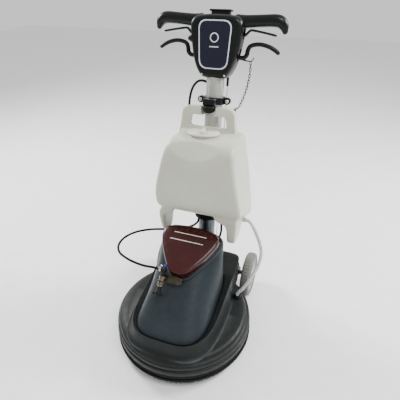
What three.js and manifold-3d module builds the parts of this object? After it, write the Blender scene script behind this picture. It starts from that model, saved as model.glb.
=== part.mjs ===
// Rotary floor machine: a single-disc scrubber with a tilting handle, a solution tank on the
// column and two transport wheels behind the deck. Millimetres, +Z up, the front is -Y and the
// operator stands at +Y. The origin is on the floor, under the middle of the machine's outline.

import * as THREE from 'three';
import { RoundedBoxGeometry } from 'three/addons/geometries/RoundedBoxGeometry.js';
import { mergeVertices } from 'three/addons/utils/BufferGeometryUtils.js';
import Module from 'manifold-3d';

const wasm = await Module();
wasm.setup();

// ---- driving dimensions ----

const GAP = 0.4; // clearance between separate pieces that meet

const DECK_Y = -88; // the brush axis, measured from the origin
const SHROUD_R = 225; // radius of the round deck
const SHROUD_TOP_Z = 112;
const LIP_Z = 28; // lower edge of the deck above the floor
const BRUSH_R = 214;
const BRISTLE_Z = 36; // length of the bristles
const BRISTLE_INNER_R = 128;
const BRUSH_BLOCK_Z = 54; // top of the brush block

const COLLAR_HALF_X = 142; // the raised collar around the motor cover
const COVER_BASE_Z = 148; // where the motor cover sits in its collar
const COVER_HALF_X = 117;
const COVER_FRONT_Y = -176;
const COVER_REAR_Y = 146;
const SLOPE = THREE.MathUtils.degToRad(27.5); // slope of the cover's top face
const SLOPE_ORIGIN = new THREE.Vector3(0, -32, 277); // front tip of the cap's underside
const CAP_LENGTH = 174; // along the slope
const CAP_WALL = 26; // height of the cap's wall at its tip
const CAP_FALL = 13; // the wall is this much lower behind

const GLAND = new THREE.Vector3(55, 136, 262); // motor cable gland behind the cover

const HINGE_Y = 221; // tilt hinge, from the brush axis
const HINGE_Z = 150;
const LEAN = THREE.MathUtils.degToRad(9.9); // the column leans back at rest
const TUBE_R = 28;
const FOOT_R = 30;
const COLUMN_SIDES = 16; // every round piece on the column's axis has as many sides
const TUBE_TOP = 700; // distances along the column are measured from the hinge
const COLLAR_LOW = 178;
const CLAMP_AT = 594;
const CLIP_X = 51; // cable clip on the collar
const CLIP_Y = 4;
const WIRE_X = 36; // tilt release wire beside the tube
const WIRE_Y = 16;

const WHEEL_R = 85;
const WHEEL_WIDTH = 36;
const WHEEL_X = 170;
const WHEEL_Y = 250;
const WHEEL_Z = 86.5;
const WHEEL_SIDES = 20;
const AXLE_R = 8;

const HEAD_LOW = 662;
const HEAD_HIGH = 843;
const HEAD_FRONT = -36;
const HEAD_REAR = 36;
const HEAD_SPLIT = -4;

const UPPER_PIVOT = { x: 64, s: 790 };
const LOWER_PIVOT = { x: 58, s: 727 };
const PIVOT_PIN_R = 3;

// ---- materials ----

function finish(color, roughness, metalness = 0) {
  return new THREE.MeshStandardMaterial({ color, roughness, metalness });
}

const FINISHES = {
  deckPlastic: () => finish(0x2f3535, 0.6),
  coverPlastic: () => finish(0x3c4448, 0.45),
  blackPlastic: () => finish(0x141a1a, 0.35),
  capPlastic: () => finish(0x4b201e, 0.25),
  rubber: () => finish(0x101010, 0.8),
  tyre: () => finish(0x7c7c78, 0.75),
  polyethylene: () => finish(0xc0c0b4, 0.5),
  chrome: () => finish(0xb8b8b2, 0.2, 1),
  darkSteel: () => finish(0x5a5f60, 0.45, 0.8),
  castMetal: () => finish(0x6e706e, 0.6, 0.6),
  panelFilm: () => finish(0x161a28, 0.3),
  bezelPlastic: () => finish(0xc8cdd2, 0.3),
  bristle: () => finish(0x3c372d, 0.9),
  clearHose: () => finish(0xbec6ca, 0.35),
};

// ---- solids ----

function toSolid(geometry) {
  const bare = geometry.clone();
  for (const name of Object.keys(bare.attributes)) {
    if (name !== 'position') bare.deleteAttribute(name);
  }
  const merged = mergeVertices(bare, 1e-4);
  const vertProperties = new Float32Array(merged.attributes.position.array);
  const triVerts = new Uint32Array(merged.index.array);
  return new wasm.Manifold(new wasm.Mesh({ numProp: 3, vertProperties, triVerts }));
}

function toGeometry(solid) {
  const mesh = solid.getMesh();
  const geometry = new THREE.BufferGeometry();
  geometry.setAttribute('position', new THREE.BufferAttribute(mesh.vertProperties, 3));
  geometry.setIndex(new THREE.BufferAttribute(mesh.triVerts, 1));
  return geometry;
}

function join(first, ...others) {
  return toGeometry(others.reduce((solid, other) => solid.add(toSolid(other)), toSolid(first)));
}

function cut(first, ...tools) {
  return toGeometry(tools.reduce((solid, tool) => solid.subtract(toSolid(tool)), toSolid(first)));
}

function common(first, second) {
  return toGeometry(toSolid(first).intersect(toSolid(second)));
}

function signedVolume(geometry) {
  const p = geometry.attributes.position;
  const a = new THREE.Vector3();
  const b = new THREE.Vector3();
  const c = new THREE.Vector3();
  let volume = 0;
  for (let i = 0; i < geometry.index.count; i += 3) {
    a.fromBufferAttribute(p, geometry.index.getX(i));
    b.fromBufferAttribute(p, geometry.index.getX(i + 1));
    c.fromBufferAttribute(p, geometry.index.getX(i + 2));
    volume += a.dot(b.cross(c)) / 6;
  }
  return volume;
}

// Turns every face outwards.
function outward(geometry) {
  if (signedVolume(geometry) < 0) geometry.index.array.reverse();
  return geometry;
}

// Bigger rounds get more sides.
function sidesFor(radius) {
  return THREE.MathUtils.clamp(4 * Math.round(2.6 + radius / 32), 12, 32);
}

// A closed [radius, z] profile turned around the Z axis.
function turned(profile, sides = sidesFor(Math.max(...profile.map(([r]) => r)))) {
  const points = profile.map(([r, z]) => new THREE.Vector2(r, z));
  const last = points.length - 1;
  if (points[0].x > 0 || points[last].x > 0) points.push(points[0].clone());
  const geometry = new THREE.LatheGeometry(points, sides);
  geometry.rotateX(Math.PI / 2);
  return outward(geometry);
}

function disc(radius, low, high, sides = sidesFor(radius)) {
  return turned([[0, low], [radius, low], [radius, high], [0, high]], sides);
}

function ring(inner, outer, low, high, sides = sidesFor(outer)) {
  return turned([[inner, low], [outer, low], [outer, high], [inner, high]], sides);
}

// A box given by its corners, with rounded edges where a radius is given.
function block(low, high, radius = 0) {
  const size = high.map((value, i) => value - low[i]);
  const geometry = radius
    ? new RoundedBoxGeometry(...size, 1, radius)
    : new THREE.BoxGeometry(...size);
  return geometry.translate(...high.map((value, i) => (value + low[i]) / 2));
}

// A geometry built around Z, laid along X or Y.
function alongX(geometry) {
  return geometry.rotateY(Math.PI / 2);
}

function alongY(geometry) {
  return geometry.rotateX(-Math.PI / 2);
}

// A solid through rings that all have the same number of points.
function loft(rings) {
  const count = rings[0].length;
  const last = rings.length - 1;
  const positions = rings.flat(2);
  const index = [];
  for (let r = 0; r < last; r += 1) {
    for (let i = 0; i < count; i += 1) {
      const a = r * count + i;
      const b = r * count + ((i + 1) % count);
      index.push(a, b, b + count, a, b + count, a + count);
    }
  }
  for (const r of [0, last]) {
    const centre = positions.length / 3;
    for (let axis = 0; axis < 3; axis += 1) {
      positions.push(rings[r].reduce((sum, point) => sum + point[axis], 0) / count);
    }
    for (let i = 0; i < count; i += 1) {
      const a = r * count + i;
      const b = r * count + ((i + 1) % count);
      if (r === 0) index.push(centre, b, a);
      else index.push(centre, a, b);
    }
  }
  const geometry = new THREE.BufferGeometry();
  geometry.setAttribute('position', new THREE.Float32BufferAttribute(positions, 3));
  geometry.setIndex(new THREE.BufferAttribute(new Uint32Array(index), 1));
  return outward(geometry);
}

// Points of a superellipse; power 2 is an ellipse and higher powers are squarer. The half towards
// +Y may have its own power.
function superellipse(halfX, low, high, power, count, rearPower = power) {
  const halfY = (high - low) / 2;
  const points = [];
  for (let i = 0; i < count; i += 1) {
    const angle = (i / count) * 2 * Math.PI;
    const c = Math.cos(angle);
    const s = Math.sin(angle);
    const n = c > 0 ? power : rearPower;
    const reach = (Math.abs(c) ** n + Math.abs(s) ** n) ** (-1 / n);
    points.push([halfX * s * reach, (high + low) / 2 - halfY * c * reach]);
  }
  return points;
}

// Points of a rectangle with rounded corners, starting at its front right corner.
function roundedRectangle(halfX, low, high, radius, steps = 3) {
  const centres = [[1, -1, -90], [1, 1, 0], [-1, 1, 90], [-1, -1, 180]];
  const points = [];
  for (const [sideX, sideY, start] of centres) {
    const centreX = sideX * (halfX - radius);
    const centreY = sideY > 0 ? high - radius : low + radius;
    for (let i = 0; i <= steps; i += 1) {
      const angle = THREE.MathUtils.degToRad(start + (90 * i) / steps);
      points.push([centreX + radius * Math.cos(angle), centreY + radius * Math.sin(angle)]);
    }
  }
  return points;
}

// A bar of oval section along a path in a plane of constant y: stations of [x, z, radius].
function bar(stations, y, flatness = 1, sides = 12) {
  const rings = stations.map(([x, z, radius], i) => {
    const before = stations[Math.max(i - 1, 0)];
    const after = stations[Math.min(i + 1, stations.length - 1)];
    const along = new THREE.Vector2(after[0] - before[0], after[1] - before[1]).normalize();
    const points = [];
    for (let k = 0; k < sides; k += 1) {
      const angle = (k / sides) * 2 * Math.PI;
      const across = radius * Math.cos(angle);
      const depth = radius * flatness * Math.sin(angle);
      points.push([x - along.y * across, y + depth, z + along.x * across]);
    }
    return points;
  });
  return loft(rings);
}

// A round tube or cord along a smooth curve through the points.
function cord(points, radius, steps, sides = 10) {
  const path = new THREE.CatmullRomCurve3(points.map((point) => new THREE.Vector3(...point)));
  const corners = [];
  for (let i = 0; i < sides; i += 1) {
    const angle = (i / sides) * 2 * Math.PI;
    corners.push(new THREE.Vector2(radius * Math.cos(angle), radius * Math.sin(angle)));
  }
  return new THREE.ExtrudeGeometry(new THREE.Shape(corners), { steps, extrudePath: path });
}

// A flat outline in the X-Z plane, thickened along Y from one value to another.
function plate(shape, fromY, toY, curveSegments = 8) {
  const geometry = new THREE.ExtrudeGeometry(shape, {
    depth: toY - fromY,
    bevelEnabled: false,
    curveSegments,
  });
  return geometry.rotateX(Math.PI / 2).translate(0, toY, 0);
}

function add(group, name, geometry, material) {
  const mesh = new THREE.Mesh(toGeometry(toSolid(geometry)), material());
  mesh.name = name;
  group.add(mesh);
}

// ---- deck ----

// Plan outline of the collar around the motor cover, grown by a margin at the front and sides.
// Behind, its walls are upright, beside the wheels.
function collarOutline(margin, z, rise, count = 24) {
  const plain = superellipse(COLLAR_HALF_X, -190, 232, 3.4, count, 12);
  const grown = superellipse(COLLAR_HALF_X + margin, -190 - margin, 232, 3.4, count, 12);
  return grown.map(([x, y], i) => {
    const upright = THREE.MathUtils.smoothstep(y, 50, 140);
    return [
      THREE.MathUtils.lerp(x, plain[i][0], upright), y,
      z + rise * THREE.MathUtils.smoothstep(y, -120, 190),
    ];
  });
}

function coverOutline(z, inset = 0, count = 24) {
  const halfX = COVER_HALF_X - inset;
  return superellipse(halfX, COVER_FRONT_Y + inset, COVER_REAR_Y - inset, 3.6, count, 4.5).map(
    ([x, y]) => [x, y, z],
  );
}

function makeShroud() {
  const skirt = turned([
    [0, LIP_Z], [SHROUD_R, LIP_Z], [SHROUD_R + 1, 38], [SHROUD_R - 3, 44], [SHROUD_R + 3, 50],
    [SHROUD_R + 4, 66], [SHROUD_R - 2, 72], [SHROUD_R + 2, 78], [SHROUD_R, 90],
    [SHROUD_R - 10, 102], [SHROUD_R - 40, 110], [0, SHROUD_TOP_Z],
  ]);
  const collar = loft([
    collarOutline(16, 98, 0), collarOutline(12, 112, 4), collarOutline(4, 128, 22),
    collarOutline(0, 142, 34), collarOutline(-7, 151, 40),
  ]);
  const cavity = turned([
    [0, LIP_Z - 5], [SHROUD_R - 6, LIP_Z - 5], [SHROUD_R - 6, 70], [SHROUD_R - 20, 94],
    [104, 102], [104, 240], [0, 240],
  ]);
  const well = loft([coverOutline(140, -GAP - 1), coverOutline(260, -GAP - 1)]);
  const yokeSlot = block([-53, 158, SHROUD_TOP_Z], [53, 260, 260]);
  return cut(join(skirt, collar), cavity, well, yokeSlot);
}

// ---- motor cover: a helmet with a sloping top ----

// Half outline of the sloping top face, a rounded triangle with its tip to the front: the
// distance from the middle and the distance up the slope.
const CAP_SIDE = [
  [0, 0], [18, 1.5], [32, 10], [46, 28], [60, 49], [74, 72], [87, 98],
  [97, 124], [97, 145], [85, 160], [61, 169], [31, 173], [0, 174],
];

function capOutline(scale, height, fall = 0) {
  const left = CAP_SIDE.slice(1, -1).reverse().map(([x, along]) => [-x, along]);
  const middle = CAP_LENGTH / 2;
  return [...CAP_SIDE, ...left].map(([x, t]) => {
    const along = middle + (t - middle) * scale;
    const up = height - (fall * along) / CAP_LENGTH;
    return [
      x * scale,
      SLOPE_ORIGIN.y + along * Math.cos(SLOPE) - up * Math.sin(SLOPE),
      SLOPE_ORIGIN.z + along * Math.sin(SLOPE) + up * Math.cos(SLOPE),
    ];
  });
}

function blendRings(low, high, share, bulge) {
  const swell = 1 + bulge * Math.sin(share * Math.PI);
  return low.map((point, i) => point.map((value, axis) => {
    const mixed = value + (high[i][axis] - value) * share;
    return axis === 0 ? mixed * swell : mixed;
  }));
}

function coverSolid(inset, capScale, sink, shares) {
  const base = coverOutline(COVER_BASE_Z - 6, inset);
  const rim = coverOutline(COVER_BASE_Z + 4, inset);
  const top = capOutline(capScale, -sink);
  const shoulder = capOutline(capScale * 1.08, -sink - 14);
  return loft([base, rim, ...shares.map((share) => blendRings(rim, shoulder, share, 0.008)),
    shoulder, capOutline(capScale * 1.06, -sink - 4), top]);
}

function makeCover() {
  const outer = coverSolid(0, 1.0, GAP, [0.25, 0.5, 0.75, 0.92]);
  const inner = coverSolid(4, 0.93, 5, [0.35, 0.7]);
  const mouth = loft([coverOutline(COVER_BASE_Z - 20, 4), coverOutline(COVER_BASE_Z, 4)]);
  const vent = loft([capOutline(0.6, -20), capOutline(0.6, 5)]);
  const gland = alongY(disc(6 + GAP, 0, 60)).translate(GLAND.x, 100, GLAND.z);
  const glandSeat = alongY(disc(10 + GAP, -GAP, 30)).translate(GLAND.x, GLAND.y, GLAND.z);
  return cut(outer, inner, mouth, vent, gland, glandSeat);
}

function addMotorCover(group) {
  add(group, 'motor_cover', makeCover(), FINISHES.coverPlastic);
  const gasket = cut(
    loft([capOutline(1.01, GAP), capOutline(1.01, 4)]),
    loft([capOutline(0.8, -2), capOutline(0.8, 8)]),
  );
  add(group, 'cover_gasket', gasket, FINISHES.rubber);
  const low = 4 + GAP;
  const cap = loft([
    capOutline(1.0, low), capOutline(0.985, low + CAP_WALL - 5, CAP_FALL),
    capOutline(0.965, low + CAP_WALL, CAP_FALL), capOutline(0.92, low + CAP_WALL + 3, CAP_FALL),
    capOutline(0.45, low + CAP_WALL + 4.5, CAP_FALL),
  ]);
  add(group, 'cover_cap', cap, FINISHES.capPlastic);
}

// ---- drive: motor, gearbox, rotor and brush ----

function addMotor(group) {
  const fins = [];
  for (let i = 0; i < 6; i += 1) {
    const angle = (i / 6) * 2 * Math.PI;
    fins.push(block([72, -2, 150], [80, 2, 204]).rotateZ(angle));
  }
  const shell = turned([
    [66, 140 + GAP], [110, 140 + GAP], [110, 146], [80, 147], [74, 150], [74, 206], [60, 216],
    [12, 216], [12, 210], [56, 210], [66, 202],
  ]);
  add(group, 'motor_housing', join(shell, ...fins), FINISHES.castMetal);
  const gearbox = turned([
    [14, 104], [50, 104], [98, 106], [98, 118], [88, 122], [86, 140], [60, 140], [60, 124],
    [14, 120],
  ]);
  add(group, 'gearbox_housing', gearbox, FINISHES.castMetal);
  add(group, 'start_capacitor', disc(19, 147, 226).translate(-52, 100, 0), FINISHES.rubber);
}

// The rotor's shaft carries the cooling fan above the motor.
function addRotor(group) {
  const blades = [];
  for (let i = 0; i < 6; i += 1) {
    const angle = (i / 6) * 2 * Math.PI;
    blades.push(block([6, -1.2, 219], [50, 1.2, 230]).rotateZ(angle));
  }
  const shaft = turned([
    [0, 126], [9, 126], [9, 152], [52, 154], [52, 198], [9, 200], [9, 217.6], [52, 217.6],
    [52, 220], [14, 220], [14, 232], [0, 232],
  ]);
  add(group, 'motor_rotor', join(shaft, ...blades), FINISHES.darkSteel);
}

function addBrush(group) {
  const hub = join(disc(13, 58, 122), disc(58, 58, 66));
  add(group, 'drive_hub', hub, FINISHES.darkSteel);
  const plateSolid = turned([
    [30, BRISTLE_Z + GAP], [BRUSH_R, BRISTLE_Z + GAP], [BRUSH_R, 50], [BRUSH_R - 8, BRUSH_BLOCK_Z],
    [30, BRUSH_BLOCK_Z],
  ]);
  add(group, 'brush_block', plateSolid, FINISHES.deckPlastic);
  const bristles = turned([
    [BRISTLE_INNER_R, 0], [BRUSH_R + 4, 0], [BRUSH_R - 1, BRISTLE_Z],
    [BRISTLE_INNER_R + 4, BRISTLE_Z],
  ]);
  add(group, 'bristle_ring', bristles, FINISHES.bristle);
}

// ---- wheels ----

function addWheel(group, side) {
  const half = WHEEL_WIDTH / 2;
  const name = side < 0 ? 'left' : 'right';
  const place = (geometry) => alongX(geometry).translate(side * WHEEL_X, WHEEL_Y, WHEEL_Z);
  const tyre = turned([
    [62 + GAP, -half + 3], [70, -half], [80, -half + 3], [WHEEL_R, -half + 11],
    [WHEEL_R, half - 11], [80, half - 3], [70, half], [62 + GAP, half - 3],
  ], WHEEL_SIDES);
  add(group, `wheel_tyre_${name}`, place(tyre), FINISHES.tyre);
  const hub = turned([
    [AXLE_R + GAP, -half + 1], [18, -half + 1], [22, -half + 7], [54, -half + 9],
    [62 - GAP, -half + 4], [62 - GAP, half - 4], [54, half - 9], [22, half - 7],
    [18, half - 1], [AXLE_R + GAP, half - 1],
  ], WHEEL_SIDES);
  add(group, `wheel_hub_${name}`, place(hub), FINISHES.bezelPlastic);
}

// The axle, with a stop outside each wheel.
function addAxle(group) {
  const stop = WHEEL_X + WHEEL_WIDTH / 2 + 1;
  const axle = alongX(turned([
    [0, -stop - 7], [11, -stop - 7], [15, -stop - 4], [15, -stop], [AXLE_R, -stop],
    [AXLE_R, stop], [15, stop], [15, stop + 4], [11, stop + 7], [0, stop + 7],
  ]));
  add(group, 'wheel_axle', axle.translate(0, WHEEL_Y, WHEEL_Z), FINISHES.darkSteel);
}

// ---- tilt hinge and axle bracket: one welded bracket behind the deck ----

// A flat cheek in the Y-Z plane, from an outline of y and z values.
function cheek(outline, fromX, toX) {
  const geometry = new THREE.ExtrudeGeometry(outline, {
    depth: toX - fromX,
    bevelEnabled: false,
    curveSegments: 6,
  });
  geometry.applyMatrix4(new THREE.Matrix4().makeBasis(
    new THREE.Vector3(0, 1, 0), new THREE.Vector3(0, 0, 1), new THREE.Vector3(1, 0, 0),
  ));
  return geometry.translate(fromX, 0, 0);
}

function addHinge(group) {
  const rear = SHROUD_R + 8;
  const base = block([-42, 164, SHROUD_TOP_Z + GAP], [42, rear + 5, SHROUD_TOP_Z + 4]);
  const cross = block([-134, rear, 84], [134, rear + 5, SHROUD_TOP_Z + 4]);
  const ear = new THREE.Shape();
  ear.moveTo(HINGE_Y - 24, SHROUD_TOP_Z + 3);
  ear.lineTo(HINGE_Y + 17, SHROUD_TOP_Z + 3);
  ear.lineTo(HINGE_Y + 20, HINGE_Z);
  ear.absarc(HINGE_Y, HINGE_Z, 20, 0, Math.PI, false);
  const arm = new THREE.Shape();
  arm.moveTo(rear + 2, 84);
  arm.lineTo(WHEEL_Y + 6, WHEEL_Z - 19);
  arm.absarc(WHEEL_Y, WHEEL_Z, 20, -1.2, 1.4, false);
  arm.lineTo(rear + 2, 148);
  const solids = [cheek(ear, -42, -36), cheek(ear, 36, 42), cheek(arm, -134, -128), cheek(arm, 128, 134)];
  const axleHole = alongX(disc(AXLE_R + GAP, -200, 200)).translate(0, WHEEL_Y, WHEEL_Z);
  const pinHole = alongX(disc(8 + GAP, -60, 60)).translate(0, HINGE_Y, HINGE_Z);
  add(group, 'rear_bracket', cut(join(base, cross, ...solids), axleHole, pinHole), FINISHES.darkSteel);
  const pin = alongX(turned([
    [0, -49], [12, -49], [12, -42.6], [8, -42.6], [8, 49], [0, 49],
  ])).translate(0, HINGE_Y, HINGE_Z);
  add(group, 'hinge_pin', pin, FINISHES.chrome);
}

// The toothed sector that the lock pin drops into; fixed to the deck beside the foot.
function addQuadrant(group) {
  const outer = 62;
  const sector = new THREE.Shape();
  sector.moveTo(-12, -34);
  sector.lineTo(12, -34);
  sector.lineTo(outer * Math.cos(0.4), outer * Math.sin(0.4));
  sector.absarc(0, 0, outer, 0.4, 2.2, false);
  const geometry = cheek(sector, 42 + GAP, 45.6).translate(0, HINGE_Y, HINGE_Z);
  const hole = alongX(disc(8 + GAP, 30, 60)).translate(0, HINGE_Y, HINGE_Z);
  const notches = [0, 1, 2, 3, 4].map((i) => {
    const angle = Math.PI / 2 - LEAN + 0.13 - i * 0.24;
    const notch = block([39, -4, outer - 8], [50, 4, outer + 6]);
    notch.rotateX(angle - Math.PI / 2);
    return notch.translate(0, HINGE_Y, HINGE_Z);
  });
  add(group, 'lock_quadrant', cut(geometry, hole, ...notches), FINISHES.darkSteel);
}

// ---- spray nozzle on the front of the cover ----

const NOZZLE_AT = new THREE.Vector3(-44, -62, 277);
const NOZZLE_TILT = THREE.MathUtils.degToRad(41); // the nozzle points down the cover's front

function nozzlePlace(geometry) {
  return geometry.rotateX(-(Math.PI / 2 - NOZZLE_TILT)).translate(NOZZLE_AT.x, NOZZLE_AT.y, NOZZLE_AT.z);
}

function addNozzle(group) {
  const body = join(
    disc(8.5, -20, 12), disc(10.5, -17, -14), disc(10.5, -10, -7), disc(10, 6, 12, 6),
  );
  add(group, 'nozzle_body', nozzlePlace(cut(body, disc(3, -26, 0))), FINISHES.chrome);
  const wings = join(disc(7, -36, -21), disc(10.5, -50, -35), block([-18, -4, -48], [18, 4, -37]));
  const cap = cut(wings, disc(2, -60, -20));
  add(group, 'nozzle_cap', nozzlePlace(cap), FINISHES.blackPlastic);
  const elbow = join(
    disc(6.5, 12.4, 26),
    disc(8, 17, 20),
    disc(8, 24.4, 36),
    new THREE.SphereGeometry(8, 12, 6).translate(0, 0, 34),
    alongX(disc(7, -22, 0)).translate(0, 0, 32),
  );
  add(group, 'hose_barb', nozzlePlace(elbow), FINISHES.blackPlastic);
  const bracket = cut(
    join(
      block([-12, 12, -3], [62, 14.5, 22]),
      block([-12, 6, -4.6], [12, 13, -GAP]),
      disc(12.5, -4.6, -GAP),
    ),
    disc(8.5 + GAP, -30, 40),
  );
  add(group, 'nozzle_bracket', nozzlePlace(bracket), FINISHES.darkSteel);
}

// ---- cords between the column and the deck, in the deck's own frame ----

const HOSE_R = 6;
const CABLE_R = 4;

const SOLUTION_HOSE = [
  [154.6, 226.7, 357], [166, 224, 354], [180, 215, 341], [197, 205, 317], [212, 196, 289],
  [221, 184, 260], [220, 165, 233], [211, 143, 206], [197, 122, 178], [181, 107, 152],
  [168, 101, 134], [163, 100, 121.6],
];

const SPRAY_HOSE = [
  [-22, 221, 328], [-26, 219, 313], [-42, 215, 296], [-68, 209, 284], [-102, 198, 278],
  [-142, 180, 279], [-186, 150, 288], [-221, 106, 299], [-236, 55, 309], [-229, 4, 317],
  [-206, -30, 320], [-172, -46, 318], [-138, -50, 312], [-108, -46, 304], [-86, -39, 299],
  [-66.8, -37.8, 298],
];

const MOTOR_CABLE = [
  [51, 256, 326.4], [53, 252, 311], [59, 238, 295], [63, 217, 283], [61, 194, 273],
  [57, 172, 265], [55, 158, 262], [55, 146, 262],
];

// ---- deck group ----

const GROMMET = new THREE.Vector3(163, 100, 108);

function makeDeck() {
  const deck = new THREE.Group();
  const gland = alongY(turned([
    [4.6, -14], [6, -14], [6, 0], [10, 0], [10, 4], [7, 6], [6, 13], [4.6, 13],
  ]));
  const grommet = turned([
    [6.6, -6], [10, -6], [10, 1.6], [13, 1.8], [13, 4], [9, 9], [6.6, 9],
  ]);
  const grommetAt = grommet.translate(GROMMET.x, GROMMET.y, GROMMET.z + 4);
  const grommetHole = disc(10 + GAP, -30, 5.4).translate(GROMMET.x, GROMMET.y, GROMMET.z);
  const grommetSeat = disc(13 + GAP, 5, 30).translate(GROMMET.x, GROMMET.y, GROMMET.z);
  add(deck, 'deck_shroud', cut(makeShroud(), grommetHole, grommetSeat), FINISHES.deckPlastic);
  add(deck, 'bumper_ring', turned([
    [SHROUD_R + GAP, 30], [SHROUD_R + 4, 29], [SHROUD_R + 6, 33], [SHROUD_R + 3, 37],
    [SHROUD_R + 1.4 + GAP, 37],
  ]), FINISHES.rubber);
  addMotorCover(deck);
  addMotor(deck);
  addRotor(deck);
  addBrush(deck);
  addAxle(deck);
  addWheel(deck, -1);
  addWheel(deck, 1);
  addHinge(deck);
  addQuadrant(deck);
  addNozzle(deck);
  add(deck, 'cable_gland', gland.translate(GLAND.x, GLAND.y, GLAND.z), FINISHES.blackPlastic);
  add(deck, 'hose_grommet', grommetAt, FINISHES.rubber);
  add(deck, 'solution_hose', cord(SOLUTION_HOSE, HOSE_R, 14, 8), FINISHES.clearHose);
  add(deck, 'spray_hose', cord(SPRAY_HOSE, CABLE_R, 30, 8), FINISHES.rubber);
  add(deck, 'motor_cable', cord(MOTOR_CABLE, CABLE_R, 9, 8), FINISHES.rubber);
  deck.position.y = DECK_Y;
  return deck;
}

// ---- column: in its own group, Z along the tube and the hinge at the origin ----

function addColumn(group) {
  const barrel = alongX(disc(19, -34.4, 34.4));
  const socket = join(
    barrel, disc(24, 0, 60, COLUMN_SIDES), disc(FOOT_R, 22, 30, COLUMN_SIDES),
  );
  const pinHole = alongX(disc(8.5, -50, 50));
  add(group, 'column_foot', cut(socket, pinHole), FINISHES.castMetal);
  const lower = ring(24 + GAP, FOOT_R, 30 + GAP, COLLAR_LOW + 24, COLUMN_SIDES);
  const upper = ring(25.4, TUBE_R, COLLAR_LOW + 24 + GAP, TUBE_TOP, COLUMN_SIDES);
  add(group, 'lower_tube', lower, FINISHES.darkSteel);
  add(group, 'upper_tube', upper, FINISHES.chrome);
  const collar = turned([
    [FOOT_R + GAP, COLLAR_LOW], [44, COLLAR_LOW], [45, COLLAR_LOW + 4], [44, COLLAR_LOW + 14],
    [36, COLLAR_LOW + 34], [TUBE_R + GAP, COLLAR_LOW + 36], [TUBE_R + GAP, COLLAR_LOW + 25],
    [FOOT_R + GAP, COLLAR_LOW + 25],
  ], COLUMN_SIDES);
  const clip = ring(CABLE_R + 1, CABLE_R + 5, COLLAR_LOW + 4, COLLAR_LOW + 16);
  const body = join(collar, clip.translate(CLIP_X, CLIP_Y, 0));
  const wireWay = disc(3, COLLAR_LOW - 9, COLLAR_LOW + 60).translate(WIRE_X, WIRE_Y, 0);
  add(group, 'tank_collar', cut(body, wireWay), FINISHES.rubber);
}

// Two-part clamp ring with ears; the front half carries the tank's round catch.
function addClamp(group) {
  const half = 11;
  const band = ring(TUBE_R + GAP, 37, CLAMP_AT - half, CLAMP_AT + half, COLUMN_SIDES);
  const ears = [-1, 1].map((side) => {
    const ear = alongY(disc(11, -8, 8)).translate(side * 44, 0, CLAMP_AT);
    const neck = block([30, -8, CLAMP_AT - 9], [44, 8, CLAMP_AT + 9]);
    if (side < 0) neck.scale(-1, 1, 1).index.array.reverse();
    return join(ear, neck);
  });
  const bores = [-1, 1].map((side) => alongY(disc(5, -20, 20)).translate(side * 44, 0, CLAMP_AT));
  const inside = disc(TUBE_R + GAP, CLAMP_AT - 40, CLAMP_AT + 40, COLUMN_SIDES);
  const whole = cut(join(band, ...ears), inside, ...bores);
  const frontBox = block([-80, -90, CLAMP_AT - 50], [80, -GAP / 2, CLAMP_AT + 50]);
  const rearBox = block([-80, GAP / 2, CLAMP_AT - 50], [80, 90, CLAMP_AT + 50]);
  const boss = cut(block([-20, -62, CLAMP_AT - half], [20, -30, CLAMP_AT + 9]), inside);
  const stud = disc(5, CLAMP_AT - half - 5, CLAMP_AT).translate(0, -52, 0);
  add(group, 'clamp_front', join(common(whole, frontBox), boss, stud), FINISHES.blackPlastic);
  add(group, 'clamp_rear', common(whole, rearBox), FINISHES.blackPlastic);
  for (const side of [-1, 1]) {
    const bolt = alongY(turned([[0, -14], [6.4, -14], [6.4, -8.4], [4.6, -8.4], [4.6, 13], [0, 13]]));
    add(group, `clamp_bolt_${side < 0 ? 'left' : 'right'}`,
      bolt.translate(side * 44, 0, CLAMP_AT), FINISHES.chrome);
  }
  const flat = CLAMP_AT - half - GAP;
  const dome = [];
  for (let i = 0; i <= 4; i += 1) {
    const angle = (i / 4) * (Math.PI / 2);
    dome.push([21 * Math.cos(angle), flat - 5 - 19 * Math.sin(angle)]);
  }
  const knob = cut(turned([[0, flat], [19, flat], [21, flat - 2], ...dome], 20),
    disc(5 + GAP, flat - 6, flat + 5));
  add(group, 'tank_catch_knob', knob.translate(0, -52, 0), FINISHES.rubber);
}

// ---- solution tank ----

const LID_Y = -92; // the filler lid in front of the tube
const LID_LOW = 502;

// The body's rows: height along the column, left and right reach, front, rear, and how steeply
// the row falls towards the rear. The tank hangs a little to the right of the column.
const TANK_ROWS = [
  [238, 96, 126, -148, -38, 0.3], [243, 107, 146, -166, -24, 0.3], [252, 114, 157, -181, -14, 0.3],
  [268, 120, 162, -190, -9, 0.28], [300, 121, 158, -195, -7, 0.2], [345, 118, 149, -196, -7, 0.08],
  [390, 111, 140, -194, -7, 0], [435, 103, 130, -189, -7, -0.02], [466, 96, 124, -181, -10, -0.05],
  [486, 90, 119, -170, -16, -0.1], [496, 84, 112, -158, -24, -0.12], [500, 72, 100, -144, -36, -0.12],
];

function tankBody(inset) {
  const rows = inset ? TANK_ROWS.filter((row, i) => [0, 2, 3, 5, 7, 9, 11].includes(i)) : TANK_ROWS;
  return loft(rows.map(([s, left, right, front, rear, fall], i) => {
    const end = i === 0 ? inset : i === rows.length - 1 ? -inset : 0;
    const half = (left + right) / 2;
    const outline = roundedRectangle(half - inset, front + inset, rear - inset, 16 - inset);
    return outline.map(([x, y]) => [x + right - half, y, s + end - fall * (y + 100)]);
  }));
}

// The scooped recess under the filler lid: a wide round cut, leaning back like the wall it leaves.
function tankRecess(grow) {
  const scoop = disc(350 + grow, -110, 60, 64).translate(0, -350, 0);
  const width = block([-72 - grow, -200, -120], [80 + grow, 80, 70]);
  return common(scoop, width).rotateX(THREE.MathUtils.degToRad(-33)).translate(0, -145, 505);
}

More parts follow.
